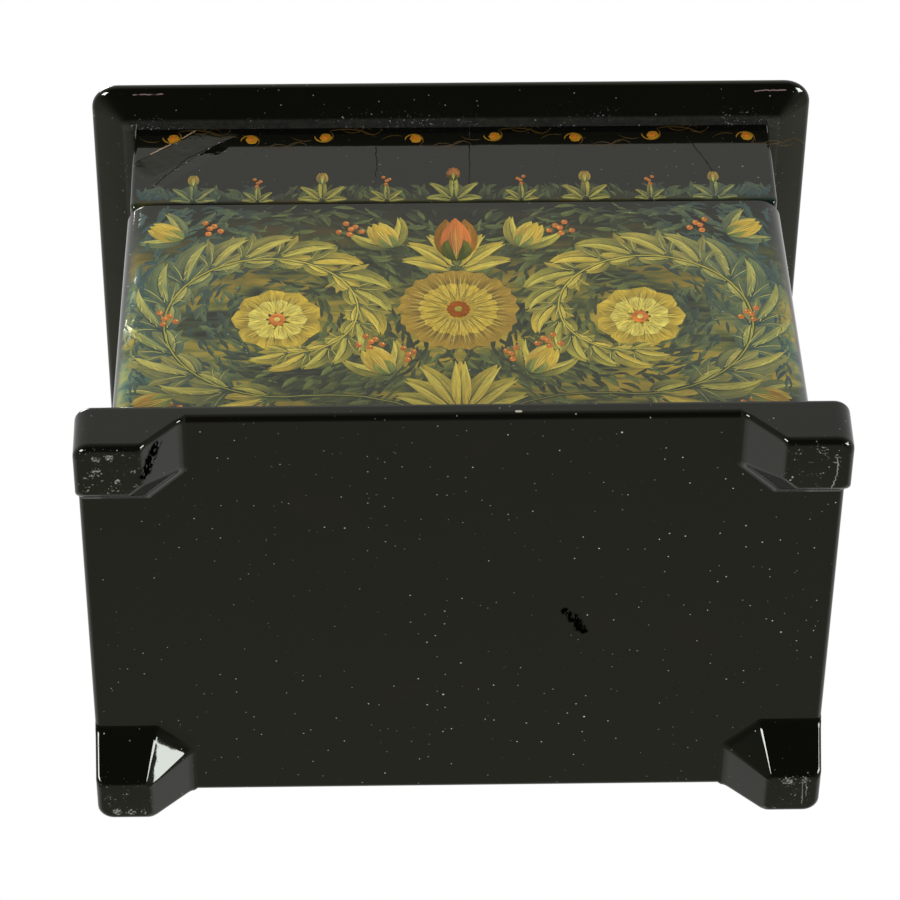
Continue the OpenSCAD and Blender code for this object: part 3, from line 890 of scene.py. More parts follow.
def base_plate():
    profile = slab_profile(PLATE_Z, FLOOR_Z, PLATE_EDGE)
    rings = [rectangle(PLATE_W - inset, PLATE_D - inset, PLATE_CORNER - inset, z) for inset, z in profile]
    piece = new_piece("base_plate_lacquered", skin(rings), dulled, "case")
    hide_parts("base_plate")


def foot_ring(row, height, side_x, side_y):
    """One level of a foot: square outside, sloped inside, with its inner corner cut off."""
    share = height / PLATE_Z
    outer = rounding(height, SOLE_ROUND)
    inner = rounding(height, SLOPE_ROUND)
    flare = max(0, 1 - (PLATE_Z - height) / FLARE_H) if height < PLATE_Z else 1
    flare = FLARE_W * (1 - math.cos(math.asin(flare)))
    reach = SOLE[row] + (FOOT_TOP[row] - SOLE[row]) * share - inner + flare
    cut = SOLE_CUT[row] + (FOOT_CUT_TOP - SOLE_CUT[row]) * share - (2 - math.sqrt(2)) * inner
    corners = [(outer, outer), (reach, outer), (reach, reach - cut), (reach - cut, reach), (outer, reach)]
    bend = 0.1 + 0.28 * cut
    radii = [PLATE_CORNER - outer, SLOPE_BEND, bend, bend, SLOPE_BEND]
    return [
        Vector((side_x * (PLATE_W - p.x), side_y * (PLATE_D - p.y), height))
        for p in rounded_outline(corners, radii, 7)
    ]


def rounding(height, radius):
    """How far a rounded lower edge draws in at a height above the floor."""
    if height >= radius:
        return 0
    return radius - math.sqrt(radius**2 - (radius - height) ** 2)


def foot(row, side_x, side_y, name):
    lower = [SOLE_ROUND * (1 - math.cos(step * math.pi / 2 / 9)) for step in range(10)]
    upper = [PLATE_Z - FLARE_H * (1 - math.sin(step * math.pi / 2 / 5)) for step in range(6)]
    levels = lower + [SOLE_ROUND + HOLD, upper[0] - HOLD] + upper + [PLATE_Z + PLATE_EDGE]
    rings = [foot_ring(row, z, side_x, side_y) for z in levels]
    piece = new_piece(name + "_lacquered", skin(rings), dulled, "case")
    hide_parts(name)


# Body


def body_shell():
    low_edge = SEAM_Z - BODY_EDGE
    rings = [rectangle(BODY_W, BODY_D, BODY_CORNER, z) for z in (FLOOR_Z, FLOOR_Z + HOLD)]
    profile = [(0, low_edge - HOLD)]
    profile += [(inward, low_edge + up) for inward, up in turned_edge(BODY_EDGE, 0, 90, 4)]
    rings += [rectangle(TOP_W - inset, TOP_D - inset, BODY_CORNER, z) for inset, z in profile]
    for room, z in ((HOLD, SEAM_Z), (0, SEAM_Z), (0, FLOOR_Z)):
        rings.append(rectangle(HOLLOW_W + room, HOLLOW_D + room, HOLLOW_CORNER, z))
    piece = new_piece("body_shell_lacquered", skin(rings, tube=True), wall_ground, "case")
    cut_out(piece, [rear_groove()] + barrel_pockets())
    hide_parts("body_shell")


def inner_lining():
    low_edge = LIP_Z - LIP_EDGE
    lip = list(turned_edge(LIP_EDGE, 0, 90))
    profile = [(0, FLOOR_Z), (0, low_edge - HOLD)]
    profile += [(inward, low_edge + up) for inward, up in lip]
    profile += [(LINING_T - inward, low_edge + up) for inward, up in reversed(lip)]
    profile += [(LINING_T, FLOOR_Z)]
    rings = [rectangle(LINING_W - inset, LINING_D - inset, LINING_CORNER - inset, z) for inset, z in profile]
    piece = new_piece("inner_lining_red", skin(rings, tube=True), red, "case")
    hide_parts("inner_lining")


def hollow_floor():
    """The red coat on the bottom of the hollow."""
    half_w, half_d, radius = (v - LINING_T - 0.04 for v in (LINING_W, LINING_D, LINING_CORNER))
    low, high, edge = FLOOR_Z + 0.01, FLOOR_Z + 0.16, 0.05
    profile = ((0, low), (0, high - edge), (edge, high))
    rings = [rectangle(half_w - inset, half_d - inset, radius - inset, z) for inset, z in profile]
    new_piece("hollow_floor_red", skin(rings), red, "case")


# Lid


def lid_coat():
    """The red coat inside the lid: under the board and down the rim, short of the hinges and the lip."""
    film, gap = 0.07, 0.01
    lower, high = RIM_Z + COAT_STOPS, BOARD_Z - gap
    outer_w, outer_d = RIM_HOLLOW_W - gap, RIM_HOLLOW_D - gap
    profile = (
        (film, 0.14, high - film),
        (film, 0.14, lower + 0.02),
        (film / 2, 0.17, lower),
        (0, 0.19, lower + 0.02),
        (0, 0.19, high),
    )
    rings = [rectangle(outer_w - inset, outer_d - inset, r, z) for inset, r, z in profile]
    new_piece("lid_coat_red", skin(rings), red, "lid")


def rim_strips():
    """The rim, in four strips that are mitred at the corners."""
    rings = [rectangle(RIM_HOLLOW_W, RIM_HOLLOW_D, 0.2, z) for z in (BOARD_Z, RIM_Z)]
    rounded_z = RIM_Z + RIM_EDGE
    profile = [(RIM_EDGE + HOLD, 0.1, RIM_Z)]
    profile += [
        (inward, RIM_CORNER - 0.8 * inward, rounded_z + up) for inward, up in turned_edge(RIM_EDGE, -90, 0, 8)
    ]
    profile += [(0, RIM_CORNER, rounded_z + HOLD), (0, RIM_CORNER, BOARD_Z)]
    rings += [rectangle(RIM_W - inset, RIM_D - inset, r, z) for inset, r, z in profile]
    whole = new_piece("rim_whole", skin(rings, tube=True), lacquer, "lid")
    cut_out(whole, [rear_groove()] + barrel_pockets())
    corner = Vector((RIM_W, RIM_D, 0)) * MM
    for name, middle in SIDES.items():
        bm = bmesh.new()
        bm.from_mesh(whole.data)
        along = middle.cross(UP)
        for side in (-1, 1):
            at = corner * (middle + side * along)
            out = (side * along - middle).normalized()
            whole_strip = bm.verts[:] + bm.edges[:] + bm.faces[:]
            cut = bmesh.ops.bisect_plane(bm, geom=whole_strip, plane_co=at, plane_no=out, clear_outer=True)
            edges = [g for g in cut["geom_cut"] if isinstance(g, bmesh.types.BMEdge)]
            bmesh.ops.holes_fill(bm, edges=edges, sides=0)
        bmesh.ops.scale(bm, vec=(1 / MM,) * 3, verts=bm.verts)
        material, slot = (rim_ground, "painted_lacquer") if name == "front" else (lacquer, "black_lacquer")
        piece = new_piece(f"rim_{name}_lacquered", bm, material, "lid")
        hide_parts(f"rim_{name}")
    bpy.data.objects.remove(whole)


def board_profile():
    """(inset, corner radius, height) of the lid board, from its underside over the nose to its crown."""
    soffit_inset = BOARD_W - RIM_W - SOFFIT
    nose_z = BOARD_Z + NOSE_RISE
    rows = [(soffit_inset + 0.25, 0.9, BOARD_Z), (soffit_inset + 0.04, 0.95, BOARD_Z + 0.01)]
    run = soffit_inset - NOSE_R
    tilt = math.atan2(NOSE_RISE, run) - math.asin(NOSE_R / math.hypot(NOSE_RISE, run))
    rows += [(soffit_inset - 0.2, 1.05, BOARD_Z + 0.2 * math.tan(tilt) + 0.01)]
    start = math.degrees(tilt) - 90
    touch = math.radians(start)
    inward, up = NOSE_R * (1 - math.cos(touch)), NOSE_R * math.sin(touch)
    rows += [(inward + 0.3, BOARD_CORNER - inward - 0.2, nose_z + up - 0.3 * math.tan(tilt))]
    for inward, up in turned_edge(NOSE_R, start, 80, 10):
        rows.append((inward, BOARD_CORNER - inward * 0.5, nose_z + up))
    for step in range(1, 25):
        part = (step / 24) ** 1.6
        rise = NOSE_R + CROWN_RISE * (1 - (1 - part) ** 2)
        rows.append((NOSE_R + part * CROWN_RUN, BOARD_CORNER, nose_z + rise))
    return rows


def lid_board():
    rings = [rectangle(BOARD_W - inset, BOARD_D - inset, r, z) for inset, r, z in board_profile()]
    piece = new_piece("lid_board_lacquered", skin(rings), board_black, "lid", 25)
    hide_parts("lid_board")


base_plate()
for row, side_y in (("front", -1), ("rear", 1)):
    for side, side_x in (("left", -1), ("right", 1)):
        foot(row, side_x, side_y, f"foot_{row}_{side}")
body_shell()
inner_lining()
hollow_floor()
lid_coat()
rim_strips()
lid_board()

for name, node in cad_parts.items():
    if "hinge" in name or "nails" in name:
        node.data.materials.clear()
        node.data.materials.append(brass)


# The painted ornament: a folk garland of leaves, blossoms and berries

CREAM = (0.80, 0.67, 0.13)
YELLOW = (0.68, 0.46, 0.04)
OCHRE = (0.46, 0.27, 0.02)
LEAF_LIGHT = (0.33, 0.34, 0.05)
LEAF = (0.11, 0.15, 0.04)
OLIVE = (0.026, 0.036, 0.015)
TEAL = (0.045, 0.14, 0.085)
BLUE_TEAL = (0.03, 0.08, 0.085)
ORANGE = (0.72, 0.19, 0.02)
RUST = (0.32, 0.08, 0.015)
DARK = (0.010, 0.012, 0.007)
GOLD = (0.50, 0.23, 0.015)
DULL_GOLD = (0.085, 0.047, 0.01)
LAYER = 0.016


def blend_paint(a, b, share):
    return tuple(x + (y - x) * share for x, y in zip(a, b))


def towards_ends(paint, across, half_width, cool=TEAL):
    """Cools a paint towards the ends of the wall."""
    share = max(0.0, (abs(across) / half_width - 0.5) / 0.4)
    return blend_paint(paint, cool, 0.8 * min(share, 1))


class Garland:
    """Three layers of brushwork that a garland is painted in, from the leaves to the fine lines."""

    def __init__(self, name, seed, half_width, body=1.0):
        self.leaves = Brushwork(name + "_leaves", seed, body=body)
        self.petals = Brushwork(name + "_petals", seed + 1, body=body)
        self.lines = Brushwork(name + "_lines", seed + 2, body=body)
        self.random = random.Random(seed)
        self.half_width = half_width

    def near(self, value, spread):
        return value * (1 + self.random.uniform(-spread, spread))

    def leaf(self, at, heading, length, half, turn, bright, lift=1):
        """A long curved leaf with a light edge, veins and a dark middle rib."""
        path = sweep(at, heading, length, turn, 8)
        dark = towards_ends(blend_paint(OLIVE, LEAF, bright), at[0], self.half_width, BLUE_TEAL)
        light = towards_ends(blend_paint(LEAF_LIGHT, YELLOW, bright), at[0], self.half_width)
        self.leaves.stroke(path, half, dark, light, 0.8, 0.75, LAYER * lift)
        side = 1 if turn > 0 else -1
        edge = [p + self.across(path, k) * side * half * 0.38 for k, p in enumerate(path)]
        gleam = blend_paint(light, CREAM, 0.5)
        self.leaves.stroke(edge[1:], half * 0.42, light, gleam, 0.8, 0.9, LAYER * (lift + 0.6))
        self.lines.stroke(path[:-1], 0.09, DARK, dark, 0.6, 0.5, LAYER * (lift + 1.2))
        veins = max(2, int(length / 3.2))
        for vein in range(veins):
            k = 1 + int(vein * 6 / veins)
            for way in (-1, 1):
                out = heading + turn * k / 8 + way * 38
                tone = CREAM if way == side else blend_paint(dark, light, 0.5)
                run = half * 0.95 * math.sin(math.pi * (k / 8) ** 0.8) ** 0.75
                vein_path = sweep(path[k], out, run, -way * 22, 3)
                self.lines.stroke(vein_path, 0.07, tone, tone, 0.6, 0.6, LAYER * (lift + 1.3))

    def across(self, path, k):
        ahead = (path[min(k + 1, len(path) - 1)] - path[max(k - 1, 0)]).normalized()
        return Vector((-ahead.y, ahead.x))

    def fan(self, at, heading, reach, count, spread, side, bright):
        """A spray of comma strokes that open from one point."""
        for k in range(count):
            share = k / max(count - 1, 1)
            out = heading + side * spread * (share - 0.35)
            length = self.near(reach * (1 - 0.45 * abs(share - 0.35)), 0.1)
            tone = min(1, max(0, bright + 0.35 * (0.5 - share)))
            root = towards_ends(blend_paint(OLIVE, LEAF, tone), at[0], self.half_width, BLUE_TEAL)
            tip = towards_ends(blend_paint(LEAF, YELLOW, tone), at[0], self.half_width)
            path = sweep(at, out, length, side * 40 * (share + 0.3), 6)
            self.leaves.stroke(path, length * 0.115, root, tip, 1.25, 0.8, LAYER * 0.8)
            self.lines.stroke(path[1:-1], 0.08, blend_paint(tip, CREAM, 0.6), None, 0.8, 0.6, LAYER * 2)

    def blossom(self, at, radius, petals, outer, inner, heart):
        """A round flower of teardrop petals in two rings, streaked, with a dotted heart."""
        at = Vector(at)
        outer_ring = (1.0, 0.30, outer, blend_paint(outer, DARK, 0.6), 1)
        inner_ring = (0.66, 0.16, inner, blend_paint(inner, outer, 0.7), 3)
        for ring, (reach, start, paint, dark, lift) in enumerate((outer_ring, inner_ring)):
            for k in range(petals):
                angle = 360 * (k + 0.5 * ring) / petals + self.random.uniform(-3, 3)
                way = towards(angle)
                length = radius * (reach - start)
                half = radius * reach * math.tan(math.pi / petals) * 0.92
                path = sweep(at + way * radius * start, angle, length, self.random.uniform(-6, 6), 6)
                self.petals.stroke(path, half, dark, paint, 1.7, 0.62, LAYER * lift)
                for line in (-22, -8, 8, 22):
                    root = at + way * radius * (start + 0.1)
                    run = length * (0.72 - 0.006 * abs(line))
                    tone = blend_paint(paint, CREAM, 0.7) if line in (-8, 8) else blend_paint(dark, DARK, 0.3)
                    streak = sweep(root, angle + line, run, -line * 0.7, 4)
                    self.lines.stroke(streak, 0.085, tone, None, 0.8, 0.5, LAYER * (lift + 2))
        self.petals.dot(at, radius * 0.2, heart, LAYER * 6)
        for k in range(10):
            self.lines.dot(at + towards(36 * k) * radius * 0.27, radius * 0.035, CREAM, LAYER * 7)
        self.lines.dot(at, radius * 0.07, CREAM, LAYER * 8)

    def bud(self, at, heading, size, paint):
        """A closed flower: three petals and two sepals."""
        for turn, half, share in ((-24, 0.2, 0.2), (24, 0.2, 0.35), (0, 0.24, 0.0)):
            tone = blend_paint(paint, CREAM, share)
            path = sweep(at, heading + turn, size, -turn * 1.3, 6)
            shade, layers = blend_paint(tone, RUST, 0.5), 3 if turn else 4
            self.petals.stroke(path, size * half, shade, tone, 0.85, 0.7, LAYER * layers)
        for turn in (-52, 52):
            path = sweep(at, heading + turn, size * 0.55, -turn * 1.5, 5)
            self.petals.stroke(path, size * 0.09, LEAF, LEAF_LIGHT, 0.9, 0.8, LAYER * 5)
        for turn in (-10, 0, 10):
            path = sweep(at, heading + turn, size * 0.8, -turn, 4)
            self.lines.stroke(path, 0.08, CREAM, None, 1, 0.6, LAYER * 6)

    def stem(self, start, end, bow):
        """A thin stalk that bows to one side."""
        start, end = Vector(start), Vector(end)
        reach = end - start
        side = Vector((-reach.y, reach.x)).normalized() * bow
        path = [start + reach * step / 8 + side * math.sin(math.pi * step / 8) for step in range(9)]
        self.leaves.stroke(path, 0.26, OLIVE, LEAF_LIGHT, 0.8, 0.3, LAYER * 0.4)

    def berries(self, at, count, size):
        """A cluster of berries on short stalks, each with its light."""
        for k in range(count):
            place = Vector(at) + towards(140 * k) * size * 0.95 * math.sqrt(k)
            tone = blend_paint(ORANGE, RUST, self.random.random() * 0.5)
            self.petals.dot(place, size * 0.62, tone, LAYER * 4)
            self.lines.dot(place + Vector((-0.2, 0.22)) * size, size * 0.16, CREAM, LAYER * 6)

    def grass(self, width, height, count, swirl):
        """Short dark strokes that fill the ground behind the garland."""
        for _ in range(count):
            at = (self.random.uniform(0.5, width), self.random.uniform(0.4, height - 1.2))
            heading = swirl(*at) + self.random.uniform(-30, 30)
            tone = self.random.random() ** 2
            paint = blend_paint(DARK, LEAF, 0.15 + 0.75 * tone)
            paint = towards_ends(paint, at[0], self.half_width, BLUE_TEAL)
            length = self.random.uniform(2.0, 5.5)
            path = sweep(at, heading, length, self.random.uniform(-60, 60), 4)
            if all(p.x < width and 0 < p.y < height for p in path):
                tip = blend_paint(paint, LEAF_LIGHT, 0.35 * tone)
                half = length * self.random.uniform(0.08, 0.16)
                self.leaves.stroke(path, half, paint, tip, 1.1, 0.8, LAYER / 4)

    def lay(self, place, body, slot="painted_lacquer"):
        for layer in (self.leaves, self.petals, self.lines):
            if layer.count:
                piece = layer.lay(place)
                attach(piece, body)


def around_front(half_w, half_d, corner, low, lean=0.0, edge=0.0):
    """A place on the front of a wall, carried on round its upright corners.

    The wall leans in by lean per millimetre of height, and its lower edge is rounded by edge.
    """

    def place(across, up, out):
        give = lean * up
        if up < edge:
            give += rounding(max(up, 0.02), edge)
        flat = half_w - give - corner
        depth = half_d - give - corner
        past = min(abs(across) - flat, corner * math.pi / 2)
        if past <= 0:
            return across, -(depth + corner + out), low + up
        turn = past / corner
        x = flat + (corner + out) * math.sin(turn)
        return math.copysign(x, across), -(depth + (corner + out) * math.cos(turn)), low + up

    return place


# The front wall's garland, in millimetres across from the middle and up from the plate. On each side
# a stem curls in to the middle of a whorl.
WHORL = Vector((33.5, 30))
STEM_TURNS = 60
STEM_LEAD = ((0.8, 1.2), (6, 3.4), (12, 6.2), (18, 8.0), (24, 8.5))
FOOT_LEAVES = ((0, 15), (17, 15.5), (35, 14.5), (54, 13.5), (73, 12))
TOP_LEAVES = ((12, 12), (34, 12.5), (58, 11))
WALL_BUDS = (((12, 50), 62, 8), ((53, 8), -20, 8), ((13, 14), 60, 8.5), ((52, 53), 30, 7.5))
WALL_BERRIES = (
    ((16.5, 23), 6), ((20, 55.5), 6), ((47, 56), 5), ((52.5, 4.8), 6),
    ((36, 3.6), 5), ((9.5, 19.5), 4), ((55, 30), 5),
)


def whorl_stem():
    """The points of the stem that curls in round the whorl."""
    start, end, start_r, end_r, wide = -100, 285, 22.0, 8.5, 1.08
    for k in range(STEM_TURNS + 1):
        share = k / STEM_TURNS
        way = towards(start + (end - start) * share)
        radius = start_r + (end_r - start_r) * share**1.4
        yield WHORL + Vector((way.x * wide, way.y)) * radius


def paint_whorl(garland):
    """The curled stem, with a leaf on each side and sprays of strokes between."""
    near, any_of = garland.near, garland.random.uniform
    stem = list(whorl_stem())
    path = [Vector(p) for p in STEM_LEAD] + stem
    garland.lines.stroke(path, 0.42, OLIVE, LEAF, 0.8, 0.22, LAYER * 1.6)
    garland.lines.stroke(path, 0.14, LEAF_LIGHT, YELLOW, 0.8, 0.3, LAYER * 2.4)
    for k in range(2, STEM_TURNS - 3, 3):
        at, size = stem[k], 1 - 0.45 * k / STEM_TURNS
        ahead = math.degrees(math.atan2(*(stem[k + 1] - stem[k - 1]).yx))
        garland.leaf(at, ahead - 46, near(15.5 * size, 0.12), 2.5 * size, 52, any_of(0.25, 1))
        garland.fan(at, ahead - 20, near(12 * size, 0.12), 4, 62, -1, any_of(0.2, 0.9))
        garland.leaf(at, ahead + 42, near(8.5 * size, 0.12), 1.6 * size, -48, any_of(0.2, 0.9), 0.9)
        if k % 2:
            garland.fan(stem[k + 1], ahead + 30, near(7 * size, 0.1), 3, 50, 1, any_of(0.2, 0.9))
    garland.blossom(WHORL + Vector((0.5, -0.5)), 8.6, 9, YELLOW, CREAM, ORANGE)


def paint_front_wall():
    half, height = TOP_W + 1.0, SEAM_Z - FLOOR_Z
    garland = Garland("front_garland", 11, half)

    def round_whorl(x, y):
        return math.degrees(math.atan2(y - WHORL.y, x - WHORL.x)) + 90

    garland.grass(half - 3, height, 1300, round_whorl)
    paint_whorl(garland)
    garland.blossom((0, 32), 11.5, 11, OCHRE, YELLOW, ORANGE)
    for k, (turn, reach) in enumerate(FOOT_LEAVES):
        across, bow = (0.01, -18) if turn else (0, 0.01)
        garland.leaf((across, 2.5), 90 - turn, reach, 2.3, bow, 0.9 - 0.15 * k, 1.2)
    for turn, reach in TOP_LEAVES:
        garland.leaf((0.01, 43), 90 - turn, reach, 1.9, -26, 0.75)
    garland.bud((0, 46), 90, 12.5, ORANGE)
    for at, heading, size in WALL_BUDS:
        garland.bud(at, heading, size, garland.random.choice((YELLOW, ORANGE, OCHRE)))
        garland.leaf(at, heading + 55, size * 1.15, 1.5, -35, 0.6)
        garland.leaf(at, heading - 55, size * 1.15, 1.5, 35, 0.4)
    for at, count in WALL_BERRIES:
        garland.berries(at, count, 1.15)
    garland.lay(around_front(BODY_W, BODY_D, BODY_CORNER, FLOOR_Z, lean=LEAN / height), "case")


# The rim's small plants, as (across, height)
RIM_PLANTS = ((0, 8.6), (13, 5.4), (25.5, 7.6), (38, 5.0), (50.5, 7.2))


def paint_rim():
    half = RIM_W - 0.3
    garland = Garland("rim_garland", 23, half, 0.8)
    garland.grass(half, 6.2, 210, lambda x, y: 90 - 25 * math.sin(x / 6))
    for number, (at, reach) in enumerate(RIM_PLANTS):
        for turn in ((-60, -32, 32, 60, 0) if at else (-60, -30, 0)):
            lean, tall = turn if at else -turn, 1 - abs(turn) / 170
            root = (at + (0.01 if turn else 0), 0.9)
            bright = garland.random.uniform(0.05, 0.5)
            garland.leaf(root, 90 - lean, reach * tall, reach * 0.12, -lean * 0.7, bright)
        if number % 2:
            garland.berries((at, reach + 1.4), 4, 0.75)
        else:
            garland.bud((at, reach * 0.78), 90, reach * 0.46, OCHRE if at else ORANGE)
    garland.lay(around_front(RIM_W, RIM_D, RIM_CORNER, RIM_Z, edge=RIM_EDGE), "lid")


def even_places(half, pitch):
    count = round(2 * half / pitch)
    return [half * (2 * k + 1 - count) / count for k in range(count)]


def gold_scrolls(work, low, high, places):
    """A running border in worn gold: long scrolls, each curled round a dot, with small commas between."""
    middle, size = (low + high) / 2, (high - low) / 2
    pitch = (places[-1] - places[0]) / (len(places) - 1)
    for k, at in enumerate(places):
        way = 1 if k % 2 else -1
        dot_at = (at, middle - way * size * 0.1)
        work.dot(dot_at, size * 0.6, GOLD, LAYER)
        work.dot((dot_at[0] - 0.15, dot_at[1] + 0.2), size * 0.3, ORANGE, LAYER * 2)
        ring = sweep((at - size * 1.0, middle - way * size * 0.35), 90 * way, size * 3.4, -way * 235, 14)
        work.stroke(ring, 0.17, GOLD, DULL_GOLD, 0.7, 0.5, LAYER)
        tail = sweep(ring[-1], -way * 20, pitch * 0.62, way * 62, 12)
        work.stroke(tail, 0.12, DULL_GOLD, None, 0.6, 0.4, LAYER)
        for step, turn, reach in ((3, 55, 0.34), (6, -50, 0.26), (8, 60, 0.3)):
            comma = sweep(tail[step], way * turn, pitch * reach, -way * turn * 2.2, 7)
            work.stroke(comma, 0.1, DULL_GOLD, None, 0.8, 0.5, LAYER)
            if step != 6:
                work.dot(comma[-1], 0.2, DULL_GOLD, LAYER)
        back = sweep((at - size * 1.2, middle + way * size * 0.2), 180 - way * 25, pitch * 0.3, way * 80, 8)
        work.stroke(back, 0.11, DULL_GOLD, None, 0.7, 0.5, LAYER)


def on_side(facing, reach, low):
    """A place on an upright side: across from its middle and up from its lower edge."""

    def place(across, up, out):
        return facing * (reach + out) + UP.cross(facing) * across + UP * (low + up)

    return place


def crown_height(x, y):
    """Height of the lid's crown at a place, from how far in it lies from the board's outline."""
    past_x, past_y = abs(x) - BOARD_W + BOARD_CORNER, abs(y) - BOARD_D + BOARD_CORNER
    inset = min(BOARD_CORNER - past_x, BOARD_CORNER - past_y)
    both, squares = past_x + past_y, past_x**2 + past_y**2 - BOARD_CORNER**2
    if both**2 >= 2 * squares:
        turned = (-both + math.sqrt(both**2 - 2 * squares)) / 2
        if past_x + turned > 0 and past_y + turned > 0:
            inset = turned
    rows = [(row[0], row[2]) for row in board_profile()[-24:]]
    return float(np.interp(inset, *zip(*rows)))


def on_crown(across, up, out):
    return across, up, crown_height(across, up) + out


def along_crown(facing, reach):
    """A place on the crown next to one edge: along the edge and in from it."""

    def place(across, up, out):
        at = facing * (reach - up) + UP.cross(facing) * across
        return on_crown(at.x, at.y, out)

    return place


# Where the dots of the front border sit, across from its middle. On the other borders they are evenly spread.
FRONT_DOTS = (-54.6, -39.3, -24.8, -7.1, 8.4, 24.2, 39.5, 58.0)
DOT_PITCH = 15.4
# The borders' two edges, up from the rim's lower edge or in from the board's, and the margins at their ends
RIM_BAND, CROWN_BAND = (17.6, 21.9), (4.2, 8.4)
RIM_MARGIN, CROWN_MARGIN = 2.5, 10


def lay_border(name, band, places, place):
    border = Brushwork(name, 31, mirrored=False)
    gold_scrolls(border, *band, places)
    piece = border.lay(place)
    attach(piece, "lid")


def paint_borders():
    """Gold borders round the rim under the board, and round the crown inside its edge."""
    for side, facing in SIDES.items():
        wide = facing.x == 0
        half, reach = (RIM_W, RIM_D) if wide else (RIM_D, RIM_W)
        places = FRONT_DOTS if side == "front" else even_places(half - RIM_MARGIN, DOT_PITCH)
        lay_border(f"gold_rim_{side}", RIM_BAND, places, on_side(facing, reach, RIM_Z))
        half, reach = (BOARD_W, BOARD_D) if wide else (BOARD_D, BOARD_W)
        places = even_places(half - CROWN_MARGIN, DOT_PITCH)
        lay_border(f"gold_crown_{side}", CROWN_BAND, places, along_crown(facing, reach))


# One quarter of the crown's garland: leaves round the middle blossom and round the side blossom
# as (turn, reach), buds as (place, heading, size, paint) and berries as (place, root of their stalk, count)
MIDDLE_LEAVES = ((12, 18), (32, 20), (52, 21), (70, 19), (86, 16))
SIDE_LEAVES = ((152, 15), (122, 16), (94, 15), (66, 15), (38, 14), (12, 14))
CROWN_BUDS = (((19, 17), 62, 8, YELLOW), ((38, 14), 90, 9, ORANGE), ((50, 9), 35, 7.5, OCHRE))
CROWN_BERRIES = (((12, 24), (5, 8), 6), ((29, 22), (34, 6), 5), ((49, 21), (39, 6), 6), ((22, 9), (34, 3), 4))
SIDE_X = 37


def paint_crown():
    """The lid's top: three blossoms in a row, with leaves, buds and berries on both sides of them."""
    garland = Garland("crown_garland", 41, 78)
    for up in (-1, 1):
        for turn, reach in MIDDLE_LEAVES:
            garland.leaf((0.6, up * 2), up * (90 - turn), reach, 2.5, -up * 24, 1 - turn / 110)
        for turn, reach in SIDE_LEAVES:
            bow = up * (26 if turn > 90 else -26)
            garland.leaf((SIDE_X, up * 1.5), up * turn, reach, 2.1, bow, 0.3 + turn / 260)
            garland.fan((SIDE_X, up * 1.5), up * (turn - 14), reach * 0.95, 3, 40, up, 0.3)
        garland.bud((0, up * 15), up * 90, 10, ORANGE)
        for (across, rise), heading, size, paint in CROWN_BUDS:
            at = (across, up * rise)
            garland.bud(at, up * heading, size, paint)
            garland.stem((SIDE_X if across > 20 else 6, up * 3), at, up * -1.6)
            garland.leaf(at, up * (heading + 62), size * 0.8, 1.1, -up * 30, 0.5, 0.7)
            garland.leaf(at, up * (heading - 62), size * 0.8, 1.1, up * 30, 0.3, 0.7)
        for (across, rise), (root_across, root_rise), count in CROWN_BERRIES:
            at = (across, up * rise)
            garland.stem((root_across, up * root_rise), at, up * 2.2)
            garland.berries(at, count, 1.1)
    garland.blossom((SIDE_X, 0), 8.8, 9, YELLOW, CREAM, ORANGE)
    garland.blossom((0, 0), 12.5, 11, OCHRE, YELLOW, ORANGE)
    garland.lay(on_crown, "lid")


paint_front_wall()
paint_rim()
paint_borders()
paint_crown()


# Studio


# The camera's place in millimetres, its turn in degrees, and its lens
EYE = (-19.8, -589.27, -553.92)
PITCH, YAW, ROLL = 45.721, -1.824, -1.865
LENS, SENSOR = 172.27, 36


def camera():
    """The photograph's camera: below and in front of the casket."""
    pitch, yaw, roll = (math.radians(a) for a in (PITCH, YAW, ROLL))
    turn = Matrix.Rotation(yaw, 3, "Z")
    ahead = turn @ Vector((0, math.cos(pitch), math.sin(pitch)))
    up = turn @ Vector((0, -math.sin(pitch), math.cos(pitch)))
    right = turn @ Vector((1, 0, 0))
    cos, sin = math.cos(roll), math.sin(roll)
    right, up = cos * right + sin * up, cos * up - sin * right
    data = bpy.data.cameras.new("camera")
    data.lens, data.sensor_width, data.clip_start, data.clip_end = LENS, SENSOR, 0.05, 100
    eye = bpy.data.objects.new("camera", data)
    eye.matrix_world = Matrix((right, up, -ahead)).transposed().to_4x4()
    eye.location = Vector(EYE) * MM
    bpy.context.scene.collection.objects.link(eye)
    bpy.context.scene.camera = eye


# What the casket mirrors, as stops of (how far round towards the dark end, colour)
DARK_END = Vector((0, -0.45, -0.89)).normalized()
SURROUNDINGS = (
    (0.36, (0.87, 0.87, 0.87)),
    (0.50, (0.74, 0.75, 0.70)),
    (0.57, (0.40, 0.41, 0.35)),
    (0.70, (0.39, 0.40, 0.33)),
    (0.90, (0.045, 0.042, 0.032)),
    (0.98, (0.02, 0.018, 0.012)),
)


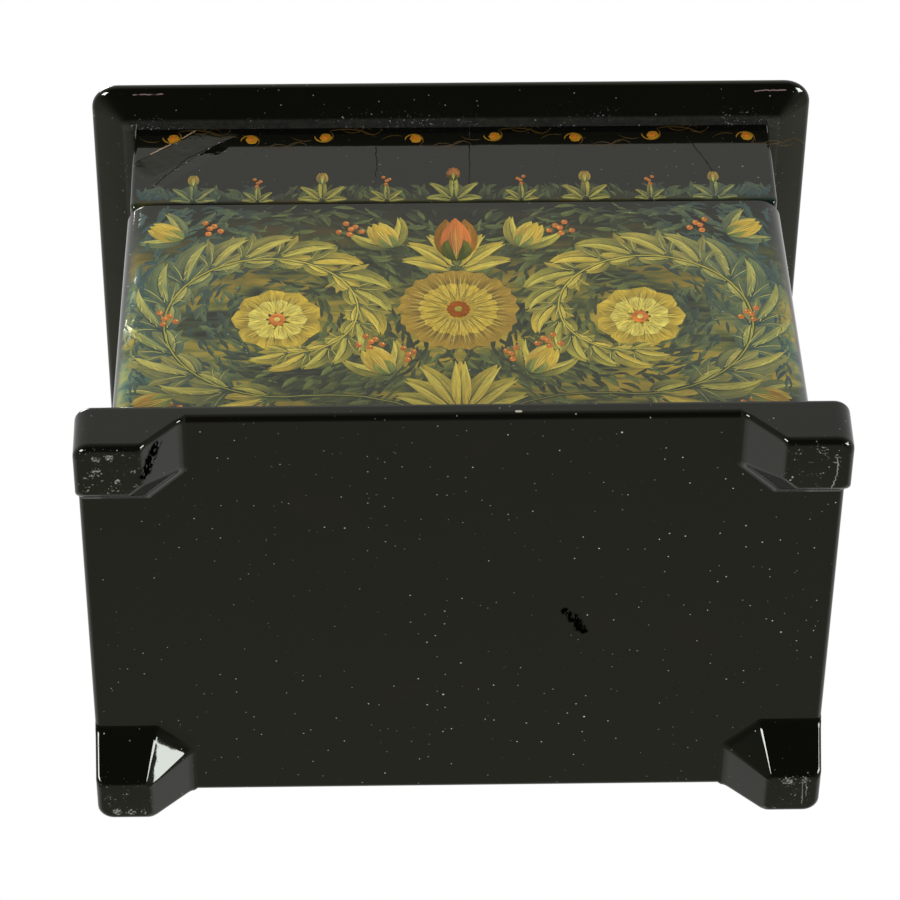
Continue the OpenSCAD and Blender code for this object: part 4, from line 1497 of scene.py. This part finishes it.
def studio_world():
    """White all around for the camera. The casket sees a bright studio with a dark end below and in front."""
    world = bpy.data.worlds.new("studio")
    world.use_nodes = True
    bpy.context.scene.world = world
    tree = world.node_tree
    tree.nodes.clear()
    n = Nodes(tree)
    direction = tree.nodes.new("ShaderNodeTexCoord").outputs["Generated"]
    half = n.times(n.vector("DOT_PRODUCT", direction, DARK_END), 0.5)
    shade = n.ramp(n.math("ADD", half, 0.5), SURROUNDINGS)
    seen = tree.nodes.new("ShaderNodeBackground")
    lit = tree.nodes.new("ShaderNodeBackground")
    n.plug(lit.inputs["Color"], shade)
    seen.inputs["Color"].default_value = (1, 1, 1, 1)
    pick = tree.nodes.new("ShaderNodeMixShader")
    n.plug(pick.inputs["Fac"], tree.nodes.new("ShaderNodeLightPath").outputs["Is Camera Ray"])
    n.plug(pick.inputs[1], lit.outputs[0])
    n.plug(pick.inputs[2], seen.outputs[0])
    out = tree.nodes.new("ShaderNodeOutputWorld")
    n.plug(out.inputs["Surface"], pick.outputs[0])


LAMP_DISTANCE = 1.2


def lamp(name, aim, direction, width, height, power, colour):
    """A soft lamp that faces a point of the casket from a direction."""
    data = bpy.data.lights.new(name, "AREA")
    data.shape, data.size, data.size_y = "RECTANGLE", width, height
    data.energy, data.color = power, colour
    light = bpy.data.objects.new(name, data)
    bpy.context.scene.collection.objects.link(light)
    direction = Vector(direction).normalized()
    light.location = Vector(aim) * MM + direction * LAMP_DISTANCE
    light.rotation_euler = direction.to_track_quat("Z", "Y").to_euler()
    light.visible_camera = False


# The floor in metres: half its side, and how far it lies under the soles
FLOOR_HALF, FLOOR_DROP = 12.0, 0.0003


def floor():
    """A pale floor that only shows from above, and takes the casket's shadow."""
    mesh = bpy.data.meshes.new("floor")
    corners = [(x * FLOOR_HALF, y * FLOOR_HALF, -FLOOR_DROP) for x, y in ((-1, -1), (1, -1), (1, 1), (-1, 1))]
    mesh.from_pydata(corners, [], [(0, 1, 2, 3)])
    ground = bpy.data.objects.new("floor", mesh)
    bpy.context.scene.collection.objects.link(ground)
    material, tree, shader = start_material("pale_floor", Base_Color=(0.86, 0.86, 0.85, 1), Roughness=0.9)
    n = Nodes(tree)
    pick = tree.nodes.new("ShaderNodeMixShader")
    n.plug(pick.inputs["Fac"], tree.nodes.new("ShaderNodeNewGeometry").outputs["Backfacing"])
    n.plug(pick.inputs[1], shader.outputs[0])
    n.plug(pick.inputs[2], tree.nodes.new("ShaderNodeBsdfTransparent").outputs[0])
    n.plug(tree.nodes["Material Output"].inputs["Surface"], pick.outputs[0])
    mesh.materials.append(material)
    for rays in ("diffuse", "glossy", "transmission", "shadow"):
        setattr(ground, "visible_" + rays, False)


camera()
studio_world()
floor()
bpy.context.scene.view_settings.view_transform = "Standard"

# Each lamp looks at the casket's middle or at a rear foot's cut corner
FACET_X, FACET_Y, FACET_Z = PLATE_W - SOLE["rear"], PLATE_D - SOLE["rear"], PLATE_Z / 2
WHITE, COOL_WHITE = (1, 1, 1), (0.88, 0.94, 1.0)
lamp("key_lamp", (0, 0, TOP_Z / 2), (-0.46, -0.14, 0.88), 0.5, 0.5, 14, WHITE)
lamp("soft_box_right", (-FACET_X, FACET_Y, FACET_Z), (0.80, -0.20, -0.565), 0.34, 0.42, 12, COOL_WHITE)
lamp("soft_box_left", (FACET_X, FACET_Y, FACET_Z), (-0.72, -0.34, -0.60), 0.30, 0.42, 13, COOL_WHITE)
